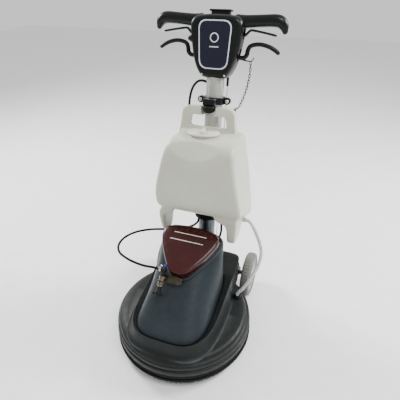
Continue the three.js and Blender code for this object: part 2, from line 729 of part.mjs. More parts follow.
// A leg; each row holds its height, inner side, left leg's and right leg's outer side, front, rear.
function tankLeg(side) {
  const rows = [
    [149, 111, 125, 132, -112, -70], [154, 109.5, 126, 136, -118, -66],
    [170, 109, 127, 139, -126, -61], [200, 109, 128, 142, -138, -54],
    [220, 106, 129, 144, -148, -49], [231, 95, 129, 145, -152, -46],
    [240, 77, 127, 145, -156, -44], [256, 66, 116, 145, -160, -40],
  ];
  const rings = rows.map(([s, inner, leftOuter, rightOuter, front, rear]) => {
    const outer = side < 0 ? leftOuter : rightOuter;
    const outline = roundedRectangle((outer - inner) / 2, front, rear, 6.5, 2);
    return outline.map(([x, y]) => [side * ((outer + inner) / 2 + x), y, s]);
  });
  return loft(rings);
}

// The carrying handle: an arch with a window on each side of the tube.
function tankHandle() {
  const outline = new THREE.Shape();
  outline.moveTo(-90, 476);
  outline.lineTo(-89, 520);
  outline.bezierCurveTo(-84, 548, -82, 576, -52, 579);
  outline.lineTo(52, 579);
  outline.bezierCurveTo(82, 576, 84, 548, 89, 520);
  outline.lineTo(104, 476);
  const window = new THREE.Path();
  window.moveTo(-64, 514);
  window.lineTo(64, 514);
  window.lineTo(58, 546);
  window.quadraticCurveTo(56, 553, 48, 553);
  window.lineTo(-48, 553);
  window.quadraticCurveTo(-56, 553, -58, 546);
  outline.holes.push(window);
  const geometry = new THREE.ExtrudeGeometry(outline, {
    depth: 16, bevelEnabled: true, bevelThickness: 6, bevelSize: 4, bevelOffset: -4,
    bevelSegments: 1, curveSegments: 5,
  });
  return outward(mergeVertices(geometry.rotateX(Math.PI / 2).translate(0, -37.5, 0)));
}

function makeTank() {
  const groove = disc(TUBE_R + 3, 130, 620, COLUMN_SIDES);
  const wide = block([-31, -2, 130], [31, 40, 620]);
  const outlines = [tankLeg(-1), tankLeg(1), tankHandle()];
  const neck = disc(47, 480, LID_LOW - GAP).translate(0, LID_Y, 0);
  const mouth = disc(38, 470, 540).translate(0, LID_Y, 0);
  const catchSeat = new THREE.SphereGeometry(24, 12, 6).translate(0, -52, CLAMP_AT - 15);
  const armSeat = block([-23, -70, 574], [23, -28, 620]);
  const spout = join(
    disc(10, 196, 300).translate(136, -30, 0),
    alongX(disc(8, 136, 152)).translate(0, -30, 205),
  );
  const outer = join(tankBody(0), ...outlines, neck, spout);
  const hollow = cut(tankBody(4), disc(TUBE_R + 7, 130, 620, COLUMN_SIDES), tankRecess(4));
  const lidSeat = disc(54, LID_LOW - GAP, 540).translate(0, LID_Y, 0);
  return cut(outer, hollow, mouth, groove, wide, catchSeat, armSeat, tankRecess(0), lidSeat);
}

function addTank(group) {
  add(group, 'solution_tank', makeTank(), FINISHES.polyethylene);
  const lid = join(
    turned([[0, LID_LOW], [51, LID_LOW], [52, LID_LOW + 6], [47, LID_LOW + 9], [0, LID_LOW + 9.5]]),
    block([-8, -43, LID_LOW + 8], [8, 43, LID_LOW + 16]).rotateZ(0.25),
  );
  add(group, 'tank_cap', lid.translate(0, LID_Y, 0), FINISHES.polyethylene);
}

// ---- control head ----

// Half outline of the shield-shaped head: x and s going up its right side.
const HEAD_SIDE = [
  [0, 662], [24, 662], [42, 667], [57, 688], [68, 718], [76, 758],
  [82, 804], [80, 825], [66, 838], [34, 843], [0, 844],
];

function headRing(y, scale, lift = 0) {
  const middle = (HEAD_LOW + HEAD_HIGH) / 2;
  const left = HEAD_SIDE.slice(1, -1).reverse().map(([x, s]) => [-x, s]);
  return [...HEAD_SIDE, ...left].map(
    ([x, s]) => [x * scale, y, middle + (s - middle) * scale + lift],
  );
}

function headSolid(front, rear, inset) {
  const shrink = inset / 80;
  const rows = [
    [HEAD_FRONT + inset, 0.9], [HEAD_FRONT + 4 + inset * 0.5, 0.955], [HEAD_FRONT + 14, 0.99],
    [HEAD_SPLIT, 1.0], [HEAD_REAR - 16, 0.99], [HEAD_REAR - 5 - inset * 0.5, 0.94],
    [HEAD_REAR - inset, 0.84],
  ];
  const whole = loft(rows.map(([y, scale]) => headRing(y, scale - shrink)));
  return common(whole, block([-200, front, 500], [200, rear, 1000]));
}

function bezelShape(inset) {
  const shape = new THREE.Shape();
  const w1 = 44 - inset;
  const w2 = 52 - inset;
  const low = 690 + inset;
  const high = 827 - inset;
  shape.moveTo(-w1 + 20, low);
  shape.lineTo(w1 - 20, low);
  shape.quadraticCurveTo(w1, low, w1 + 3, low + 24);
  shape.lineTo(w2, high - 30);
  shape.quadraticCurveTo(w2, high, w2 - 28, high);
  shape.lineTo(-w2 + 28, high);
  shape.quadraticCurveTo(-w2, high, -w2, high - 30);
  shape.lineTo(-w1 - 3, low + 24);
  shape.quadraticCurveTo(-w1, low, -w1 + 20, low);
  return shape;
}

function leverSlots() {
  const slots = [];
  for (const side of [-1, 1]) {
    for (const [pivot, down, up] of [[UPPER_PIVOT, 12, 22], [LOWER_PIVOT, 11, 24]]) {
      const low = [pivot.x - 12, -11, pivot.s - down];
      const high = [pivot.x + 40, 9, pivot.s + up];
      const slot = block(low, high);
      if (side < 0) slot.scale(-1, 1, 1).index.array.reverse();
      slots.push(slot);
    }
  }
  return slots;
}

function addHead(group) {
  const tubeHole = disc(TUBE_R + GAP, 600, 705, COLUMN_SIDES);
  const housing = alongX(disc(10, -86, -53)).translate(0, -26, 774);
  const panelSeat = plate(bezelShape(-GAP), -50, HEAD_FRONT + 5);
  const screwHoles = [-1, 1].map((side) => alongY(disc(4 + GAP, -50, -12)).translate(side * 36, 0, 674));
  const slots = leverSlots();
  const front = cut(
    headSolid(HEAD_FRONT - 5, HEAD_SPLIT - GAP / 2, 0), headSolid(HEAD_FRONT, HEAD_SPLIT + 5, 4),
    tubeHole, housing, panelSeat, ...screwHoles, ...slots,
  );
  const barrel = alongX(turned([
    [0, -52], [10.5, -52], [10.5, -78], [7.6, -78], [7.6, -56], [0, -56],
  ])).translate(0, -26, 774);
  add(group, 'head_front_shell', join(front, barrel), FINISHES.blackPlastic);
  const rear = cut(
    headSolid(HEAD_SPLIT + GAP / 2, HEAD_REAR + 5, 0), headSolid(HEAD_SPLIT - 5, HEAD_REAR, 4),
    tubeHole, ...slots,
  );
  const ferrule = disc(4, 638, 670).translate(WIRE_X, WIRE_Y, 0);
  const wireHole = disc(2, 600, 700).translate(WIRE_X, WIRE_Y, 0);
  add(group, 'head_rear_shell', cut(join(rear, ferrule), wireHole), FINISHES.blackPlastic);
}

function addPanel(group) {
  const face = HEAD_FRONT - 1.5;
  const bezel = cut(
    plate(bezelShape(0), face, HEAD_FRONT + 4.6), plate(bezelShape(4.5), -60, 0),
  );
  add(group, 'panel_bezel', bezel, FINISHES.bezelPlastic);
  const film = plate(bezelShape(4.5 + GAP), face + 1.5, HEAD_FRONT + 4.6);
  add(group, 'control_panel', film, FINISHES.panelFilm);
  for (const side of [-1, 1]) {
    const screw = alongY(turned([[0, -22], [4, -22], [4, -19], [2, -19], [2, -8], [0, -8]]));
    const name = `head_screw_${side < 0 ? 'left' : 'right'}`;
    add(group, name, screw.translate(side * 36, 0, 674), FINISHES.chrome);
  }
}

// The frame inside the head: a plug in the tube, a plate and the levers' pivot pins.
function addHeadFrame(group) {
  const plug = disc(25, 676, 716, COLUMN_SIDES);
  const web = block([-68, 12, 704], [68, 16, 806]);
  const neck = block([-20, -4, 700], [20, 14, 716]);
  const pins = [];
  for (const side of [-1, 1]) {
    for (const pivot of [UPPER_PIVOT, LOWER_PIVOT]) {
      pins.push(alongY(disc(PIVOT_PIN_R, -14, 13)).translate(side * pivot.x, 0, pivot.s));
    }
  }
  const inner = headSolid(HEAD_FRONT, HEAD_REAR, 6);
  add(group, 'head_frame', join(plug, common(web, inner), neck, ...pins), FINISHES.darkSteel);
  add(group, 'switch_box', block([-24, -20, 742], [24, 6, 788]), FINISHES.bezelPlastic);
}

function addGrips(group) {
  const body = headSolid(HEAD_FRONT - 5, HEAD_REAR + 5, -GAP);
  const stations = [
    [60, 824, 20], [84, 826, 18], [110, 828, 17], [140, 830, 17], [166, 831, 17.5],
    [180, 829, 17.5], [189, 823, 16.5], [195, 814, 14], [198, 806, 9],
  ];
  for (const side of [-1, 1]) {
    const grip = bar(stations.map(([x, s, r]) => [side * x, s, r]), 6, 1.05, 12);
    add(group, `hand_grip_${side < 0 ? 'left' : 'right'}`, cut(grip, body), FINISHES.blackPlastic);
  }
  const top = join(
    block([-34, 4, 852], [34, 34, 857], 2), block([-29, 8, 838], [29, 30, 854]),
  );
  add(group, 'top_plate', cut(top, body), FINISHES.blackPlastic);
}

function addSwitchLever(group, side) {
  const { x, s } = UPPER_PIVOT;
  const stations = [
    [x, s, 5], [x + 14, s - 4, 4.4], [x + 24, s + 2, 4], [x + 33, s + 11, 3.8],
    [x + 42, s + 13, 3.6], [x + 76, s + 8, 3.4], [x + 104, s + 3, 3.4], [x + 112, s + 1, 2.4],
  ];
  const lever = bar(stations.map(([a, b, r]) => [side * a, b, r]), -1, 1.5, 8);
  const boss = alongY(disc(9, -7, 6)).translate(side * x, 0, s);
  const hole = alongY(disc(PIVOT_PIN_R + 0.3, -20, 20)).translate(side * x, 0, s);
  const name = `switch_lever_${side < 0 ? 'left' : 'right'}`;
  add(group, name, cut(join(lever, boss), hole), FINISHES.blackPlastic);
}

const LOWER_STATIONS = [
  [0, 0, 6.5], [16, -1, 6.5], [28, 0, 6.6], [36, 8, 6.8], [38, 20, 6.8], [43, 31, 6.6],
  [55, 37, 6.4], [76, 39, 6.3], [100, 34, 6.3], [118, 26, 6.3], [130, 18, 6.2], [133, 15, 4.5],
];

function addLowerLever(group, side, name, extra = []) {
  const { x, s } = LOWER_PIVOT;
  const lever = bar(LOWER_STATIONS.map(([a, b, r]) => [side * (x + a), s + b, r]), -1, 1, 10);
  const boss = alongY(disc(9, -7, 6)).translate(side * x, 0, s);
  const hole = alongY(disc(PIVOT_PIN_R + 0.3, -20, 20)).translate(side * x, 0, s);
  add(group, name, cut(join(lever, boss, ...extra), hole), FINISHES.blackPlastic);
}

// The wire hook under the water lever, which the chain hangs from.
function chainHook() {
  const { x, s } = LOWER_PIVOT;
  return bar([
    [x + 14, s - 3, 3], [x + 30, s - 7, 2.4], [x + 44, s - 9, 1.8], [x + 52, s - 8, 1.6],
    [x + 57, s - 3, 1.5], [x + 57, s + 2, 1.2],
  ], -1, 1, 8);
}

function addButton(group) {
  const place = (geometry) => alongX(geometry).translate(0, -26, 774);
  const button = turned([[0, -62], [7, -62], [7, -83], [5.5, -86], [0, -87]]);
  add(group, 'safety_button', place(button), FINISHES.blackPlastic);
}

// ---- control run: water chain and valve rod, tilt release wire and lock pin ----

const HOOK_AT = [LOWER_PIVOT.x + 50, -1, LOWER_PIVOT.s - 10];
const CLIP_AT = [72, -24, 572];

function addWaterControl(group) {
  const [cx, cy, cs] = CLIP_AT;
  const rod = join(
    disc(2.5, 513, cs).translate(cx, cy, 0),
    alongX(disc(3, -9, 9)).translate(cx, cy, cs),
  );
  add(group, 'valve_rod', rod, FINISHES.darkSteel);
  const chain = cord([
    [HOOK_AT[0], HOOK_AT[1], HOOK_AT[2] - 3], [109, 0, 690], [107, -2, 660], [102, -6, 630],
    [94, -12, 600], [86, -19, 580], [cx + 6, cy - 2, cs + 6],
  ], 1.5, 16, 8);
  add(group, 'water_chain', chain, FINISHES.chrome);
}

// The release wire runs down beside the tube to the pin that locks the tilt.
function addTiltRelease(group) {
  const wire = disc(1.3, 78, 676, 8).translate(WIRE_X, WIRE_Y, 0);
  const pin = disc(4, 63, 96).translate(44, 0, 0);
  const yoke = block([34, -3, 84], [46, 18, 92]);
  add(group, 'lock_pin', join(pin, yoke, wire), FINISHES.chrome);
}

const HEAD_CABLE = [
  [-28.8, 0, 648], [-42, 0, 651], [-58, 1, 648], [-74, 3, 632], [-85, 6, 604], [-90, 10, 568],
  [-91, 12, 530], [-88, 12, 488], [-80, 12, 440], [-66, 16, 392], [-42, 30, 346], [-8, 42, 308],
  [28, 38, 272], [48, 20, 236], [51, 5, 206], [51, 4, 188.3],
];

function makeColumn() {
  const column = new THREE.Group();
  addColumn(column);
  addClamp(column);
  addTank(column);
  addHead(column);
  addPanel(column);
  addHeadFrame(column);
  addGrips(column);
  addSwitchLever(column, -1);
  addSwitchLever(column, 1);
  addLowerLever(column, -1, 'tilt_lever');
  addLowerLever(column, 1, 'water_lever', [chainHook()]);
  addButton(column);
  addWaterControl(column);
  addTiltRelease(column);
  add(column, 'head_cable', cord(HEAD_CABLE, CABLE_R, 28, 8), FINISHES.rubber);
  column.position.set(0, DECK_Y + HINGE_Y, HINGE_Z);
  column.rotation.x = -LEAN;
  return column;
}

// ---- the machine ----

const machine = new THREE.Group();
machine.add(makeDeck(), makeColumn());

export default machine;
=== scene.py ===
"""Looks of the rotary floor machine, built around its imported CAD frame.

Shapes are given in millimetres, in the deck's frame or the column's, and placed in the row frame
in metres. The hoses' and cables' routes are given in metres, in the row frame.
"""

import math
import random

import bmesh
import bpy
from mathutils import Matrix, Vector


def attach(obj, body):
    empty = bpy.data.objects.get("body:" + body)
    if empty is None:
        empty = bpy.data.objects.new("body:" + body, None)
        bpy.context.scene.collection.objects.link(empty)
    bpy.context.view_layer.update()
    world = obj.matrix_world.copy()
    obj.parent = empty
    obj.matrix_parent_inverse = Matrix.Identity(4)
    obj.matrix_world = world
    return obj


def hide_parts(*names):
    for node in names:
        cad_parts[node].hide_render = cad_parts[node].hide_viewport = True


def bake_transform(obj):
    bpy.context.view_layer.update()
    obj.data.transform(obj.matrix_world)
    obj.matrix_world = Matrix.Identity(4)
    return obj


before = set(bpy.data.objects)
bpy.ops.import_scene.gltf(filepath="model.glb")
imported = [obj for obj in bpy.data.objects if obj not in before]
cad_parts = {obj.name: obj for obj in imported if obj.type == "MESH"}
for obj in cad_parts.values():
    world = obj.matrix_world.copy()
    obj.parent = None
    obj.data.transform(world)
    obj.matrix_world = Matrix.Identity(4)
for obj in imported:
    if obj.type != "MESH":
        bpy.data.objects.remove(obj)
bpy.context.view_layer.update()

# ---- places and sizes shared by several pieces, in millimetres ----

MM = 0.001
DECK_Y = -88
LEAN = math.radians(9.9)
HINGE = Vector((0, 133, 150)) * MM
DECK = Matrix.Translation((0, DECK_Y * MM, 0))
COLUMN = Matrix.Translation(HINGE) @ Matrix.Rotation(-LEAN, 4, "X")

LIP_Z = 28
COVER_HALF_X = 117
COVER_FRONT_Y = -176
COVER_REAR_Y = 146
SLOPE = math.radians(27.5)
SLOPE_TIP = Vector((0, -32, 277))
CAP_LENGTH = 174
CAP_WALL = 26
CAP_FALL = 13
COVER_POWERS = (3.6, 4.5)
COLLAR_HALF_X = 142
COLLAR_FRONT_Y = -190
COLLAR_REAR_Y = 232
COLLAR_POWERS = (3.4, 12)
COLLAR_TOP = 151
COLLAR_RISE = 40
TUBE_R = 28
FOOT_R = 30
COLLAR_LOW = 178
CLAMP_AT = 594
EAR_X = 44
KNOB_Y = -52
LID_Y = -92
LID_LOW = 502
HEAD_LOW = 662
HEAD_HIGH = 843
UPPER_PIVOT = (64, 790)
LOWER_PIVOT = (58, 727)
WHEEL = (170, 250, 86.5)
NOZZLE_TURN = math.radians(49)
NOZZLE = (
    DECK @ Matrix.Translation(Vector((-44, -62, 277)) * MM) @ Matrix.Rotation(-NOZZLE_TURN, 4, "X")
)
BUTTON_AT = (-26, 774)
HEAD_SCREW = (36, 674)
HOSE_D = 0.012
CABLE_D = 0.008

SIDES = ((-1, "left"), (1, "right"))


# ---- camera ----

def make_camera():
    """The photographer stood to the front right, a little above the head."""
    yaw, pitch, roll = math.radians(20.32), math.radians(32.8), math.radians(-0.81)
    right = Vector((math.cos(yaw), math.sin(yaw), 0))
    ahead = Vector((
        -math.sin(yaw) * math.cos(pitch), math.cos(yaw) * math.cos(pitch), -math.sin(pitch),
    ))
    up = right.cross(ahead)
    across = math.cos(roll) * right + math.sin(roll) * up
    upward = -math.sin(roll) * right + math.cos(roll) * up
    data = bpy.data.cameras.new("camera")
    data.sensor_width = 36
    data.lens = 33.47
    camera = bpy.data.objects.new("camera", data)
    camera.matrix_world = Matrix.Translation((0.365, -0.897, 1.116)) @ Matrix(
        (across, upward, -ahead)
    ).transposed().to_4x4()
    bpy.context.scene.collection.objects.link(camera)
    bpy.context.scene.camera = camera


# ---- mesh making ----

def mesh_object(name, verts, faces, material, place=DECK, sharp=34):
    """An object from millimetre vertices, placed in the row frame, with its faces turned outwards."""
    mesh = bpy.data.meshes.new(name)
    mesh.from_pydata([tuple(c * MM for c in v) for v in verts], [], faces)
    mesh.transform(place)
    obj = bpy.data.objects.new(name, mesh)
    bpy.context.scene.collection.objects.link(obj)
    clean(obj, sharp)
    obj.data.materials.append(material)
    return obj


def on_column(name, shape, material):
    """An object from millimetre vertices and faces in the column's frame."""
    return mesh_object(name, *shape, material, COLUMN)


def clean(obj, sharp=34):
    """Merges doubled vertices, turns the faces outwards and shades the mesh smooth by angle."""
    bm = bmesh.new()
    bm.from_mesh(obj.data)
    bmesh.ops.remove_doubles(bm, verts=bm.verts, dist=1e-6)
    bmesh.ops.dissolve_degenerate(bm, edges=bm.edges, dist=1e-6)
    loose = [v for v in bm.verts if not v.link_faces]
    bmesh.ops.delete(bm, geom=loose, context="VERTS")
    bmesh.ops.recalc_face_normals(bm, faces=bm.faces)
    for face in bm.faces:
        face.smooth = True
    bm.to_mesh(obj.data)
    bm.free()
    obj.data.set_sharp_from_angle(angle=math.radians(sharp))


def settle(obj, sharp=34):
    """Applies the object's modifiers."""
    graph = bpy.context.evaluated_depsgraph_get()
    graph.update()
    made = bpy.data.meshes.new_from_object(obj.evaluated_get(graph))
    obj.modifiers.clear()
    obj.data = made
    clean(obj, sharp)


def carve(target, *tools, operation="DIFFERENCE"):
    """Cuts or joins closed objects, which are used up."""
    for tool in tools:
        modifier = target.modifiers.new("carve", "BOOLEAN")
        modifier.operation = operation
        modifier.solver = "EXACT"
        modifier.object = tool
        settle(target)
        bpy.data.objects.remove(tool)
    return target


def merge(name, *objects):
    """Several objects as the first one's mesh."""
    first = objects[0]
    bm = bmesh.new()
    for index, obj in enumerate(objects):
        start = len(bm.faces)
        bm.from_mesh(obj.data)
        bm.faces.ensure_lookup_table()
        material = obj.data.materials[0]
        if material.name not in first.data.materials:
            first.data.materials.append(material)
        slot_index = first.data.materials.find(material.name)
        for face in bm.faces[start:]:
            face.material_index = slot_index
    bm.to_mesh(first.data)
    bm.free()
    for obj in objects[1:]:
        bpy.data.objects.remove(obj)
    first.name = name
    first.data.set_sharp_from_angle(angle=math.radians(34))
    return first


def curve_through(points, pieces, closed=False):
    """Points of a smooth curve through the given ones, a fixed number to each stretch."""
    points = [Vector(p) for p in points]
    if closed:
        ends = [points[-1], *points, points[0], points[1]]
    else:
        ends = [2 * points[0] - points[1], *points, 2 * points[-1] - points[-2]]
    made = []
    for i in range(1, len(ends) - 2):
        a, b, c, d = ends[i - 1:i + 3]
        for k in range(pieces):
            t = k / pieces
            made.append(0.5 * (
                2 * b + (c - a) * t + (2 * a - 5 * b + 4 * c - d) * t * t
                + (3 * b - a - 3 * c + d) * t ** 3
            ))
    return made if closed else made + [points[-1]]


def rounded(points, radius, steps=4, closed=False):
    """A polyline with its corners rounded off."""
    points = [Vector(p) for p in points]
    made = []
    last = len(points) - 1
    for i, corner in enumerate(points):
        if not closed and i in (0, last):
            made.append(corner)
            continue
        before, after = points[i - 1] - corner, points[(i + 1) % (last + 1)] - corner
        reach = min(radius, 0.45 * before.length, 0.45 * after.length)
        start, end = corner + before.normalized() * reach, corner + after.normalized() * reach
        for k in range(steps + 1):
            t = k / steps
            made.append((1 - t) ** 2 * start + 2 * t * (1 - t) * corner + t * t * end)
    return made


def lathe(profile, sides=96, fillet=1.2, wobble=None):
    """Vertices and faces of a profile of (radius, height) turned round Z."""
    closed = profile[0][0] > 0 and profile[-1][0] > 0
    outline = rounded(profile, fillet, closed=closed)
    verts, faces = [], []
    for i in range(sides):
        angle = 2 * math.pi * i / sides
        for r, z in outline:
            radius = r + (wobble(angle, r, z) if wobble else 0)
            verts.append((radius * math.cos(angle), radius * math.sin(angle), z))
    count = len(outline)
    stretch = count if closed else count - 1
    for i in range(sides):
        j = (i + 1) % sides
        for k in range(stretch):
            m = (k + 1) % count
            faces.append((i * count + k, j * count + k, j * count + m, i * count + m))
    return verts, faces


def loft(rings, caps=(True, True)):
    """Vertices and faces through rings that all have as many points."""
    count = len(rings[0])
    verts = [tuple(p) for ring in rings for p in ring]
    faces = []
    for r in range(len(rings) - 1):
        for i in range(count):
            j = (i + 1) % count
            faces.append((r * count + i, r * count + j, (r + 1) * count + j, (r + 1) * count + i))
    if caps[0]:
        faces.append(tuple(range(count)))
    if caps[1]:
        faces.append(tuple((len(rings) - 1) * count + i for i in range(count)))
    return verts, faces


def refined(rings, pieces):
    """More rings, on smooth curves through the given ones."""
    columns = [curve_through(column, pieces) for column in zip(*rings)]
    return [list(ring) for ring in zip(*columns)]


def shifted(shape, matrix):
    """A shape of vertices and faces, moved by a matrix."""
    verts, faces = shape
    return [tuple(matrix @ Vector(v)) for v in verts], faces


def moved(shape, x=0, y=0, z=0):
    return shifted(shape, Matrix.Translation((x, y, z)))


def along_x(shape):
    return shifted(shape, Matrix.Rotation(math.pi / 2, 4, "Y"))


def along_y(shape):
    return shifted(shape, Matrix.Rotation(-math.pi / 2, 4, "X"))


def box(low, high, radius=1.5, segments=3):
    """A box with rounded edges."""
    bm = bmesh.new()
    bmesh.ops.create_cube(bm, size=1)
    for v in bm.verts:
        for axis in range(3):
            v.co[axis] = (low[axis] + high[axis]) / 2 + v.co[axis] * (high[axis] - low[axis])
    if radius:
        bmesh.ops.bevel(
            bm, geom=bm.edges[:], offset=radius, segments=segments, profile=0.5, affect="EDGES",
        )
    bm.verts.index_update()
    shape = [tuple(v.co) for v in bm.verts], [tuple(v.index for v in f.verts) for f in bm.faces]
    bm.free()
    return shape


def superellipse(half_x, low, high, powers, count):
    """Plan points of a squared ellipse, starting at its front; powers are its front's and rear's."""
    points = []
    for i in range(count):
        angle = 2 * math.pi * i / count
        c, s = math.cos(angle), math.sin(angle)
        n = powers[0] if c > 0 else powers[1]
        reach = (abs(c) ** n + abs(s) ** n) ** (-1 / n)
        points.append((half_x * s * reach, (high + low) / 2 - (high - low) / 2 * c * reach))
    return points


def bar(stations, y, flatness, sides):
    """A bar of oval section through stations of (x, z, radius), in a plane of constant y."""
    line = curve_through(stations, 6)
    for end, inner in ((0, 1), (-1, -2)):
        away = line[end] - line[inner]
        away.z = 0
        away.normalize()
        tip, radius = line[end].copy(), line[end].z
        extra = [
            Vector((*(tip + away * radius * math.sin(a)).xy, radius * math.cos(a)))
            for a in (math.radians(d) for d in (30, 55, 75, 86))
        ]
        line = [*reversed(extra), *line] if end == 0 else [*line, *extra]
    rings = []
    for i, (x, z, radius) in enumerate(line):
        before, after = line[max(i - 1, 0)], line[min(i + 1, len(line) - 1)]
        along = (after - before).xy.normalized()
        ring = []
        for k in range(sides):
            angle = 2 * math.pi * k / sides
            across = radius * math.cos(angle)
            ring.append((
                x - along.y * across, y + radius * flatness * math.sin(angle), z + along.x * across,
            ))
        rings.append(ring)
    return loft(rings)


def route(points, spacing=0.004):
    """Evenly spaced points of the smooth curve that a cord follows."""
    fine = centripetal(points)
    length = sum((b - a).length for a, b in zip(fine, fine[1:]))
    steps = max(8, round(length / spacing))
    made, travelled, target, i = [fine[0]], 0.0, length / steps, 0
    while len(made) < steps and i < len(fine) - 1:
        stretch = (fine[i + 1] - fine[i]).length
        if travelled + stretch >= target:
            share = (target - travelled) / stretch
            made.append(fine[i].lerp(fine[i + 1], share))
            target += length / steps
        else:
            travelled += stretch
            i += 1
    return made + [fine[-1]]


def centripetal(points, pieces=24):
    """A centripetal curve through the points, which never overshoots a tight turn."""
    points = [Vector(p) for p in points]
    ends = [2 * points[0] - points[1], *points, 2 * points[-1] - points[-2]]
    made = []
    for i in range(1, len(ends) - 2):
        p = ends[i - 1:i + 3]
        knots = [0.0]
        for a, b in zip(p, p[1:]):
            knots.append(knots[-1] + math.sqrt(max((b - a).length, 1e-9)))
        for k in range(pieces):
            t = knots[1] + (knots[2] - knots[1]) * k / pieces
            level = [
                (p[j] * (knots[j + 1] - t) + p[j + 1] * (t - knots[j])) / (knots[j + 1] - knots[j])
                for j in range(3)
            ]
            level = [
                (level[j] * (knots[j + 2] - t) + level[j + 1] * (t - knots[j]))
                / (knots[j + 2] - knots[j]) for j in range(2)
            ]
            made.append(
                (level[0] * (knots[2] - t) + level[1] * (t - knots[1])) / (knots[2] - knots[1])
            )
    return made + [points[-1]]


def tube_along(path, radius, sides=16):
    """Vertices and faces of a round tube on a path, in metres, with flat closed ends."""
    rings, normal = [], None
    for i, point in enumerate(path):
        along = (path[min(i + 1, len(path) - 1)] - path[max(i - 1, 0)]).normalized()
        if normal is None:
            normal = along.orthogonal().normalized()
        normal = (normal - along * normal.dot(along)).normalized()
        side = along.cross(normal)
        rings.append([
            point + (normal * math.cos(a) + side * math.sin(a)) * radius
            for a in (2 * math.pi * k / sides for k in range(sides))
        ])
    return loft(rings)


ROW = Matrix.Scale(1 / MM, 4)  # undoes the millimetre scale for shapes given in metres


def piece(obj, body, *nodes, slot=None):
    """The object moves with a body and stands for CAD nodes."""
    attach(obj, body)
    if nodes:
        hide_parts(*nodes)
    return obj


# ---- materials ----

def rgb(red, green, blue):
    """Linear colour from 0-255 display values."""
    return tuple((c / 255) ** 2.2 for c in (red, green, blue)) + (1.0,)


class Surface:
    """A Principled material whose colour, roughness and bump come from procedural nodes."""

    def __init__(self, name, roughness, metallic=0.0, **fixed):
        self.material = bpy.data.materials.new(name)
        self.material.use_nodes = True
        self.tree = self.material.node_tree
        self.shader = self.tree.nodes["Principled BSDF"]
        self.shader.inputs["Metallic"].default_value = metallic
        self.shader.inputs["Roughness"].default_value = roughness
        for key, value in fixed.items():
            self.shader.inputs[key.replace("_", " ")].default_value = value
        self.coords = self.tree.nodes.new("ShaderNodeTexCoord").outputs["Object"]

    def link(self, a, b):
        self.tree.links.new(a, b)

    def math(self, operation, a, b=0.0, c=0.0):
        node = self.tree.nodes.new("ShaderNodeMath")
        node.operation = operation
        for socket, value in zip(node.inputs, (a, b, c)):
            if isinstance(value, (int, float)):
                socket.default_value = value
            else:
                self.link(value, socket)
        return node.outputs[0]

    def noise(self, scale, detail=4.0, stretch=(1, 1, 1), rough=0.55):
        mapping = self.tree.nodes.new("ShaderNodeMapping")
        mapping.inputs["Scale"].default_value = stretch
        self.link(self.coords, mapping.inputs["Vector"])
        node = self.tree.nodes.new("ShaderNodeTexNoise")
        node.inputs["Scale"].default_value = scale
        node.inputs["Detail"].default_value = detail
        node.inputs["Roughness"].default_value = rough
        self.link(mapping.outputs[0], node.inputs["Vector"])
        return node.outputs["Fac"]

    def spread(self, value, low, high, out_low=0.0, out_high=1.0):
        node = self.tree.nodes.new("ShaderNodeMapRange")
        for key, number in zip(
            ("From Min", "From Max", "To Min", "To Max"), (low, high, out_low, out_high),
        ):
            node.inputs[key].default_value = number
        self.link(value, node.inputs["Value"])
        return node.outputs["Result"]

    def mix(self, share, a, b):
        node = self.tree.nodes.new("ShaderNodeMix")
        node.data_type = "RGBA"
        for key, value in ((6, a), (7, b)):
            if isinstance(value, tuple):
                node.inputs[key].default_value = value
            else:
                self.link(value, node.inputs[key])
        if isinstance(share, float):
            node.inputs[0].default_value = share
        else:
            self.link(share, node.inputs[0])
        return node.outputs[2]

    def colour(self, value):
        self.link(value, self.shader.inputs["Base Color"])
        return self

    def roughness(self, value):
        self.link(value, self.shader.inputs["Roughness"])
        return self

    def bump(self, height, strength, distance=0.0005):
        node = self.tree.nodes.new("ShaderNodeBump")
        node.inputs["Strength"].default_value = strength
        node.inputs["Distance"].default_value = distance
        self.link(height, node.inputs["Height"])
        self.link(node.outputs["Normal"], self.shader.inputs["Normal"])
        return self

    def edge(self):
        """1 along worn convex edges, 0 elsewhere."""
        geometry = self.tree.nodes.new("ShaderNodeNewGeometry")
        return self.spread(geometry.outputs["Pointiness"], 0.52, 0.60)

    def facing_up(self):
        geometry = self.tree.nodes.new("ShaderNodeNewGeometry")
        split = self.tree.nodes.new("ShaderNodeSeparateXYZ")
        self.link(geometry.outputs["Normal"], split.inputs[0])
        return split.outputs["Z"]

    def axes(self):
        split = self.tree.nodes.new("ShaderNodeSeparateXYZ")
        self.link(self.coords, split.inputs[0])
        return split.outputs


def moulded(name, dark, light, roughness, grain=0.12, grain_scale=900, dust=0.0, worn=0.0, **fixed):
    """Moulded plastic: faint mottle, fine grain, dust on top faces and paler worn edges."""
    s = Surface(name, roughness, **fixed)
    mottle = s.spread(s.noise(14, 6), 0.3, 0.7)
    colour = s.mix(mottle, dark, light)
    if dust:
        lying = s.spread(s.facing_up(), 0.3, 1.0, 0.0, dust)
        spots = s.math("MULTIPLY", lying, s.spread(s.noise(60, 8, rough=0.7), 0.42, 0.7))
        colour = s.mix(spots, colour, rgb(120, 118, 110))
    if worn:
        colour = s.mix(s.math("MULTIPLY", s.edge(), worn), colour, rgb(140, 145, 146))
    s.colour(colour)
    s.roughness(s.spread(s.noise(45, 5), 0.3, 0.7, roughness - 0.05, roughness + 0.08))
    return s.bump(s.noise(grain_scale, 3), grain).material


def metal(name, dark, light, roughness, stretch=(1, 1, 1), scale=60, bump=0.05, **fixed):
    """Bare or plated metal, with drawn streaks where it is stretched."""
    s = Surface(name, roughness, 1.0, **fixed)
    streaks = s.noise(scale, 8, stretch, 0.6)
    s.colour(s.mix(s.spread(streaks, 0.35, 0.65), dark, light))
    s.roughness(s.spread(streaks, 0.3, 0.7, roughness - 0.06, roughness + 0.1))
    return s.bump(streaks, bump, 0.0002).material


